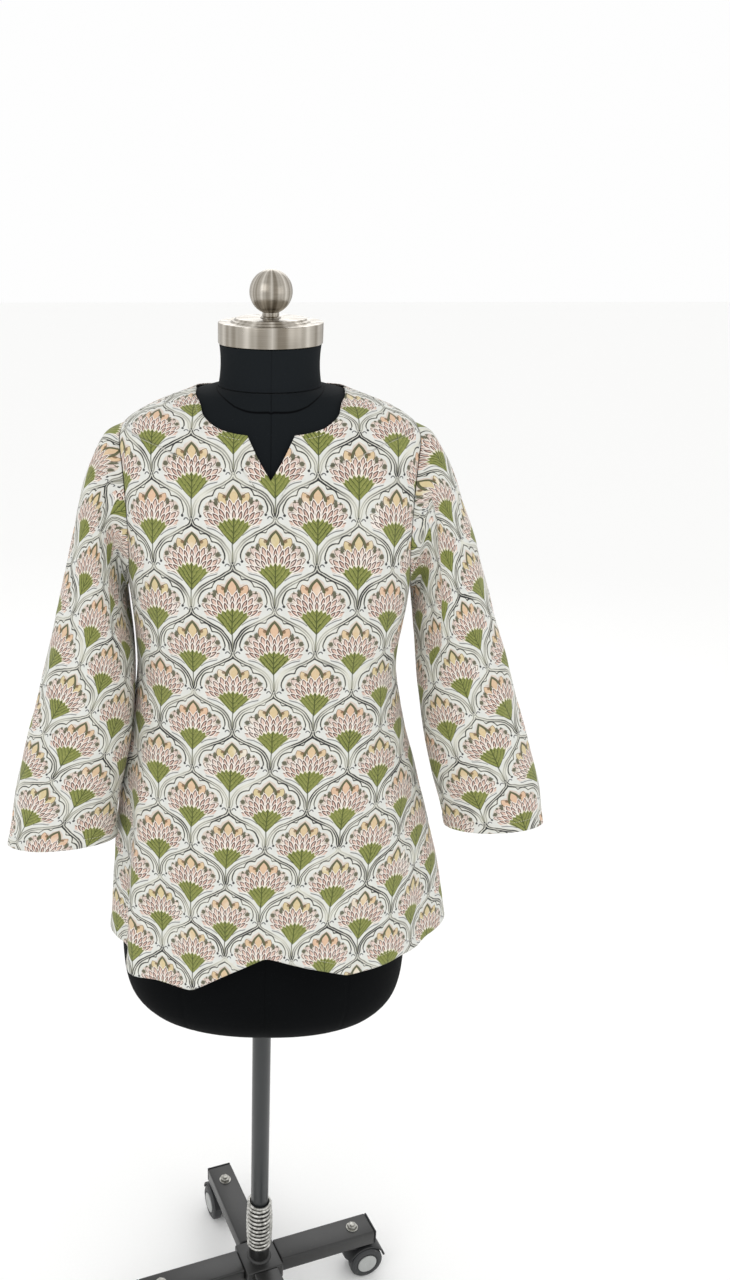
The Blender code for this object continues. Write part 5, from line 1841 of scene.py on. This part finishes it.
@dataclass(frozen=True)
class Stand:
    """The pole in its sprung socket on a cross of four box-section arms."""

    pole_radius: float = 12.5 * MM
    pole_top: float = 0.6087
    socket_radius: float = 14.6 * MM
    socket_top: float = 0.106
    spring_top: float = 0.190
    wire: float = 2.25 * MM
    end_radius: float = 15.3 * MM
    mid_radius: float = 16.9 * MM
    turns: int = 12
    bar_turn: float = 20.0
    bar_end: float = 182.0 * MM
    bar_width: float = 38.0 * MM
    bar_bottom: float = 60.0 * MM
    bar_height: float = 24.0 * MM
    bar_edge: float = 2.5 * MM
    hub_half: float = 28.0 * MM
    swivel_reach: float = 150.0 * MM

    def frame_of(self, index: int) -> Matrix:
        """The turn that lays a shape built along +X along an arm."""
        return Matrix.Rotation(math.radians(self.bar_turn + 90.0 * index), 4, "Z")

    def pole(self, paint: Material, base: Material) -> None:
        """The pole and the socket it stands in."""
        foot = self.bar_bottom + self.bar_height + 0.3 * MM
        shaft = rounded(
            [
                (0.0, foot), (self.pole_radius, foot), (self.pole_radius, self.pole_top),
                (0.0, self.pole_top),
            ],
            1.0 * MM,
        )
        piece = to_object("pole_tube", moved(spun(shaft, 64), AXIS), [paint])
        show(piece, Body.STAND.value, Slot.POLE, "pole")
        inner = self.pole_radius + 0.3 * MM
        lip = [
            (inner, foot), (self.socket_radius, foot), (self.socket_radius, self.socket_top - 0.8 * MM),
            (self.socket_radius - 0.8 * MM, self.socket_top), (inner, self.socket_top),
        ]
        socket = spun(lip, 64, closed=True)
        piece = to_object("pole_socket", moved(socket, AXIS), [base])
        show(piece, Body.STAND.value, Slot.BASE, "socket_tube")

    def weld(self, base: Material) -> None:
        """The bead of weld round the socket's foot."""
        z = self.bar_bottom + self.bar_height
        bead = spun(
            [
                (self.socket_radius - 0.2 * MM, z), (self.socket_radius + 3.2 * MM, z),
                (self.socket_radius + 2.6 * MM, z + 1.5 * MM),
                (self.socket_radius + 1.2 * MM, z + 2.6 * MM),
                (self.socket_radius - 0.2 * MM, z + 3.0 * MM),
            ],
            64, closed=True,
        )
        for vert in bead.verts:
            turn = math.atan2(vert.co.y, vert.co.x)
            swell = 1.0 + 0.02 * math.sin(turn * 26.0)
            vert.co.x *= swell
            vert.co.y *= swell
        show(to_object("socket_weld", moved(bead, AXIS), [base]), Body.STAND.value, Slot.BASE)

    def spring(self, steel: Material) -> None:
        """The coil spring over the socket, flat at both ends and widest at mid height."""
        low = self.socket_top + 0.3 * MM + self.wire
        high = self.spring_top - self.wire
        count = self.turns * 28
        curve = bpy.data.curves.new("spring_coil", "CURVE")
        curve.dimensions = "3D"
        curve.bevel_depth = self.wire
        curve.bevel_resolution = 3
        curve.use_fill_caps = True
        spline = curve.splines.new("POLY")
        spline.points.add(count)
        for step, point in enumerate(spline.points):
            share = step / count
            rise = min(1.0, max(0.0, (share * self.turns - 0.5) / (self.turns - 1.0)))
            radius = self.end_radius + (self.mid_radius - self.end_radius) * math.sin(math.pi * rise)
            angle = math.tau * share * self.turns
            point.co = (
                AXIS_X + radius * math.cos(angle), radius * math.sin(angle), low + (high - low) * rise, 1.0
            )
        guide = in_scene("spring_guide", curve)
        mesh = bpy.data.meshes.new_from_object(guide.evaluated_get(bpy.context.evaluated_depsgraph_get()))
        bpy.data.objects.remove(guide)
        mesh.name = "spring_coil"
        mesh.materials.clear()
        mesh.materials.append(steel)
        mesh.shade_smooth()
        piece = in_scene("spring_coil", mesh)
        show(piece, Body.STAND.value, Slot.SPRING, "pole_spring")

    def box(
        self, size: tuple[float, float, float], centre: tuple[float, float, float], edge: float
    ) -> BMesh:
        """A block with all its edges rounded."""
        block = bmesh.new()
        bmesh.ops.create_cube(block, size=1.0)
        bmesh.ops.scale(block, verts=block.verts, vec=size)
        bevelled(block, block.edges[:], edge, 3)
        return moved(block, Vector(centre))

    def arm(self, index: int, base: Material, plug: Material, steel: Material) -> None:
        """One arm with its plastic end plug and the nut that holds the castor's stem."""
        turn = Matrix.Translation(AXIS) @ self.frame_of(index)
        near = self.hub_half + 0.3 * MM
        plug_depth = 3.0 * MM
        far = self.bar_end - plug_depth
        middle = self.bar_bottom + self.bar_height / 2
        tube = self.box(
            (far - near, self.bar_width, self.bar_height), ((far + near) / 2, 0.0, middle), self.bar_edge
        )
        piece = to_object(f"base_arm_{index + 1}", moved(tube, turn), [base])
        show(piece, Body.STAND.value, Slot.BASE, f"base_bar_{index + 1}")
        cap = self.box(
            (plug_depth, self.bar_width - 0.6 * MM, self.bar_height - 0.6 * MM),
            (far + plug_depth / 2, 0.0, middle), 1.2 * MM,
        )
        show(to_object(f"arm_plug_{index + 1}", moved(cap, turn), [plug]), Body.STAND.value, Slot.SHELL)
        top = self.bar_bottom + self.bar_height
        nut = bmesh.new()
        bmesh.ops.create_cone(
            nut, cap_ends=True, segments=6, radius1=7.4 * MM, radius2=7.4 * MM, depth=4.0 * MM
        )
        bevelled(nut, nut.edges[:], 0.5 * MM, 2)
        moved(nut, Vector((self.swivel_reach, 0.0, top + 2.6 * MM)))
        washer = rounded(
            [(4.4 * MM, 0.0), (9.0 * MM, 0.0), (9.0 * MM, 1.0 * MM), (4.4 * MM, 1.0 * MM)], 0.3 * MM
        )
        ring = spun(washer, 32, closed=True)
        moved(ring, Vector((self.swivel_reach, 0.0, top)))
        stud = rounded([(0.0, 0.0), (3.8 * MM, 0.0), (3.8 * MM, 7.0 * MM), (0.0, 7.0 * MM)], 0.8 * MM)
        rod = spun(stud, 24)
        moved(rod, Vector((self.swivel_reach, 0.0, top)))
        for name, shape in (("stem_nut", nut), ("stem_washer", ring), ("stem_end", rod)):
            show(
                to_object(f"{name}_{index + 1}", moved(shape, turn), [steel]), Body.STAND.value, Slot.SPRING
            )

    def build(self) -> None:
        """Makes the pole, spring, hub and arms."""
        paint = Enamel(
            "dark grey stove enamel on steel tube", "#1E2122", 0.36, worn="#35393B", wear=0.45
        ).build()
        base = Enamel(
            "black stove enamel on steel box section", "#0C0D0E", 0.4, worn="#3A3936", wear=0.6
        ).build()
        steel = SpringWire("zinc-plated steel", "#BDBCB6", 0.34).build()
        plug = MouldedNylon("moulded polyethylene plug", "#16171A", 0.6).build()
        self.pole(paint, base)
        self.weld(base)
        self.spring(SpringWire("zinc-plated spring wire", "#DEDDD8", 0.26).build())
        hub = self.box(
            (2 * self.hub_half, 2 * self.hub_half, self.bar_height),
            (0.0, 0.0, self.bar_bottom + self.bar_height / 2), self.bar_edge,
        )
        piece = to_object("base_hub_block", moved(hub, Matrix.Translation(AXIS) @ self.frame_of(0)), [base])
        show(piece, Body.STAND.value, Slot.BASE, "base_hub")
        for index in range(4):
            self.arm(index, base, plug, steel)


@dataclass(frozen=True)
class Castor:
    """A twin-wheel castor: a swivelling shell with a guard over two wheels with pale hub caps."""

    index: int
    turn_deg: float
    swivel_reach: float = 150.0 * MM
    axle_reach: float = 168.0 * MM
    wheel_radius: float = 26.0 * MM
    inner: float = 6.5 * MM
    outer: float = 21.5 * MM
    cap_face: float = 22.6 * MM
    cap_radius: float = 14.0 * MM
    web_half: float = 5.0 * MM
    guard_inner: float = 27.6 * MM
    guard_outer: float = 30.6 * MM
    guard_half: float = 20.0 * MM
    guard_start: float = 12.0
    guard_sweep: float = 150.0
    plate_radius: float = 15.0 * MM
    plate_thick: float = 8.0 * MM
    top: float = 59.7 * MM

    def place(self) -> Matrix:
        """The turn and move that take a shape built with the axle at +X to its arm."""
        return Matrix.Translation(AXIS) @ Matrix.Rotation(math.radians(self.turn_deg), 4, "Z")

    def plate(self) -> BMesh:
        """The round swivel housing under the arm."""
        low = self.top - self.plate_thick
        profile = [
            (0.0, low), (self.plate_radius - 2.0 * MM, low), (self.plate_radius, low + 2.0 * MM),
            (self.plate_radius, self.top - 2.6 * MM), (self.plate_radius - 1.6 * MM, self.top - 2.0 * MM),
            (self.plate_radius - 1.6 * MM, self.top), (0.0, self.top),
        ]
        return moved(spun(rounded(profile, 0.6 * MM), 48), Vector((self.swivel_reach, 0.0, 0.0)))

    def web(self) -> BMesh:
        """The plate between the wheels, from the axle's boss up to the swivel."""
        trail = self.axle_reach
        outline = []
        for step in range(15):
            angle = math.radians(-200.0 * (1.0 - step / 14))
            outline.append(
                (trail + 11.0 * MM * math.cos(angle), self.wheel_radius + 11.0 * MM * math.sin(angle))
            )
        roof = self.top - self.plate_thick / 2
        outline += [(trail + 6.0 * MM, roof), (self.swivel_reach - 7.0 * MM, roof)]
        web = bmesh.new()
        face = web.faces.new([web.verts.new((x, -self.web_half, z)) for x, z in outline])
        made = bmesh.ops.extrude_face_region(web, geom=[face], use_keep_orig=True)["geom"]
        far = [item for item in made if isinstance(item, bmesh.types.BMVert)]
        bmesh.ops.translate(web, verts=far, vec=(0, 2 * self.web_half, 0))
        bmesh.ops.recalc_face_normals(web, faces=web.faces)
        rims = [edge for edge in web.edges if abs(edge.verts[0].co.y - edge.verts[1].co.y) < 0.1 * MM]
        bevelled(web, rims, 0.7 * MM, 2)
        return web

    def guard(self) -> BMesh:
        """The curved guard over the tops of both wheels, its edges rounded."""
        guard = bmesh.new()
        start = math.radians(self.guard_start)
        corners = (
            (self.guard_inner, -self.guard_half), (self.guard_outer, -self.guard_half),
            (self.guard_outer, self.guard_half), (self.guard_inner, self.guard_half),
        )
        face = guard.faces.new(
            [guard.verts.new((r * math.cos(start), y, r * math.sin(start))) for r, y in corners]
        )
        bmesh.ops.spin(
            guard, geom=[face], cent=(0, 0, 0), axis=(0, -1, 0), angle=math.radians(self.guard_sweep),
            steps=30,
        )
        bmesh.ops.holes_fill(guard, edges=[edge for edge in guard.edges if edge.is_boundary], sides=0)
        bmesh.ops.recalc_face_normals(guard, faces=guard.faces)
        steep = math.radians(60.0)
        long_edges = [
            edge for edge in guard.edges if not edge.is_boundary and edge.calc_face_angle(0.0) > steep
        ]
        bevelled(guard, long_edges, 0.9 * MM, 3)
        return moved(guard, Vector((self.axle_reach, 0.0, self.wheel_radius)))

    def build(self, shell: Material, tyre: Material, pale: Material) -> None:
        """Makes the shell pieces on the fork's body and the wheels on theirs.

        Args:
            shell: the shell's material.
            tyre: the wheels' material.
            pale: the hub caps' material.
        """
        number = self.index + 1
        fork = Body.FORK.value.format(number)
        wheels = Body.WHEELS.value.format(number)
        place = self.place()
        first = to_object(f"castor_{number}_plate", moved(self.plate(), place), [shell])
        show(first, fork, Slot.SHELL, f"castor_{number}_fork")
        show(to_object(f"castor_{number}_web", moved(self.web(), place), [shell]), fork, Slot.SHELL)
        show(to_object(f"castor_{number}_guard", moved(self.guard(), place), [shell]), fork, Slot.SHELL)

        lie = place @ Matrix.Translation((self.axle_reach, 0.0, self.wheel_radius)) @ Matrix.Rotation(
            math.pi / 2, 4, "X"
        )
        axle = spun(
            rounded(
                [
                    (0.0, -self.inner - 1 * MM), (4.0 * MM, -self.inner - 1 * MM),
                    (4.0 * MM, self.inner + 1 * MM), (0.0, self.inner + 1 * MM),
                ],
                0.4 * MM,
            ),
            24,
        )
        show(to_object(f"castor_{number}_axle", moved(axle, lie), [tyre]), wheels, Slot.WHEEL)
        for side in (-1, 1):
            letter = "a" if side < 0 else "b"
            profile = rounded(
                [
                    (4.0 * MM, self.inner),
                    (self.wheel_radius - 4.0 * MM, self.inner),
                    (self.wheel_radius - 0.4 * MM, self.inner + 2.2 * MM),
                    (self.wheel_radius, (self.inner + self.outer) / 2),
                    (self.wheel_radius - 0.4 * MM, self.outer - 2.2 * MM),
                    (self.wheel_radius - 4.0 * MM, self.outer),
                    (self.cap_radius + 4.0 * MM, self.outer),
                    (self.cap_radius + 2.6 * MM, self.outer - 1.2 * MM),
                    (self.cap_radius + 1.2 * MM, self.outer - 1.2 * MM),
                    (4.0 * MM, self.outer - 1.2 * MM),
                ],
                0.9 * MM,
            )
            wheel = spun(profile, 72, closed=True)
            cap = spun(
                rounded(
                    [
                        (0.0, self.outer - 1.1 * MM),
                        (self.cap_radius + 1.0 * MM, self.outer - 1.1 * MM),
                        (self.cap_radius + 1.0 * MM, self.outer + 0.4 * MM),
                        (self.cap_radius - 1.0 * MM, self.cap_face),
                        (4.0 * MM, self.cap_face),
                        (3.4 * MM, self.cap_face - 0.4 * MM),
                        (0.0, self.cap_face - 0.4 * MM),
                    ],
                    0.5 * MM,
                ),
                64,
            )
            flip = lie @ Matrix.Diagonal((1.0, 1.0, float(side), 1.0))
            for name, shape, finish in (("wheel", wheel, tyre), ("hub_cap", cap, pale)):
                moved(shape, flip)
                bmesh.ops.recalc_face_normals(shape, faces=shape.faces)
                piece = to_object(f"castor_{number}_{name}_{letter}", shape, [finish])
                nodes = (f"castor_{number}_wheels",) if name == "wheel" and side > 0 else ()
                show(piece, wheels, Slot.WHEEL, *nodes)


# Floor, lights and camera


@dataclass(frozen=True)
class Studio:
    """A pale floor, soft lights and the camera at the photograph's angle.

    The camera's pitch, yaw and roll are in degrees; its focal length is for a 36 mm long side.
    """

    pitch: float = 21.45
    yaw: float = -0.99
    roll: float = 0.165
    lens: float = 34.06
    shift_x: float = 0.114
    eye: tuple[float, float, float] = (-0.0331, -1.328, 1.577)

    def floor(self) -> None:
        """A large pale sweep under and behind the form."""
        ground = bmesh.new()
        bmesh.ops.create_grid(ground, x_segments=8, y_segments=8, size=14.0)
        finish = Finish("matt white studio paper", "#FAFAF9", 0.9)
        material, tree, surface = finish.begin()
        place = add_node(tree, "TexCoord").outputs["Object"]
        # paper fibre 4 mm long, a tint of 1 per cent
        fibre = add_node(tree, "TexNoise", links={"Vector": place, "Scale": 240.0, "Detail": 3.0})
        tint = add_node(
            tree, "Mix", COLOURS, {0: fibre.outputs[0], 6: linear("#F9F9F8"), 7: linear("#FDFDFC")}
        )
        tree.links.new(tint.outputs[2], surface.inputs["Base Color"])
        to_object("studio_floor", ground, [material])

    def lamp(
        self, name: str, place: tuple[float, float, float], size: float, power: float,
        look: tuple[float, float, float],
    ) -> None:
        """A soft square light.

        Args:
            name: its name.
            place: where it hangs.
            size: its side in metres.
            power: its watts.
            look: the point it faces.
        """
        light = bpy.data.lights.new(name, "AREA")
        light.energy = power
        light.size = size
        item = in_scene(name, light)
        item.location = place
        item.rotation_euler = (Vector(look) - Vector(place)).to_track_quat("-Z", "Y").to_euler()

    def build(self) -> None:
        """Makes the floor, the world, the lights and the camera."""
        self.floor()
        world = bpy.data.worlds.new("studio air")
        world.use_nodes = True
        world.node_tree.nodes["Background"].inputs["Color"].default_value = linear("#FFFFFF")
        world.node_tree.nodes["Background"].inputs["Strength"].default_value = 0.99
        bpy.context.scene.world = world
        self.lamp("key light", (-1.7, -2.3, 2.6), 1.8, 11.0, (0.0, 0.0, 1.0))
        self.lamp("fill light", (2.0, -1.8, 1.7), 1.6, 4.0, (0.0, 0.0, 0.9))
        self.lamp("back light", (0.3, 2.2, 2.4), 1.6, 10.0, (0.0, 0.0, 1.1))
        data = bpy.data.cameras.new("camera")
        data.sensor_width = 36.0
        data.lens = self.lens
        data.shift_x = self.shift_x
        data.clip_start = 0.05
        data.clip_end = 60.0
        camera = in_scene("camera", data)
        camera.matrix_world = (
            Matrix.Translation((AXIS_X + self.eye[0], self.eye[1], self.eye[2]))
            @ Matrix.Rotation(math.radians(-self.yaw), 4, "Z")
            @ Matrix.Rotation(math.radians(90.0 - self.pitch), 4, "X")
            @ Matrix.Rotation(math.radians(-self.roll), 4, "Z")
        )
        bpy.context.scene.camera = camera


def main() -> None:
    """Builds the looks round the loaded frame."""
    logging.basicConfig(level=logging.INFO, format="%(name)s: %(message)s")
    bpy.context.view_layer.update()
    bpy.context.scene.view_settings.view_transform = "Standard"
    Studio().build()
    DressForm().build()
    Tunic().build()
    NeckCap().build()
    stand = Stand()
    stand.build()
    shell = MouldedNylon("moulded nylon, black", "#191A1C", 0.5).build()
    tyre = MouldedNylon("moulded nylon, dark grey", "#2B2C2E", 0.5, scuff="#77756F").build()
    pale = MouldedNylon("moulded nylon, pale grey", "#A9ABA9", 0.45, scuff="#8C8B86").build()
    for index in range(4):
        Castor(index, stand.bar_turn + 90.0 * index).build(shell, tyre, pale)


if __name__ == "__main__":
    main()
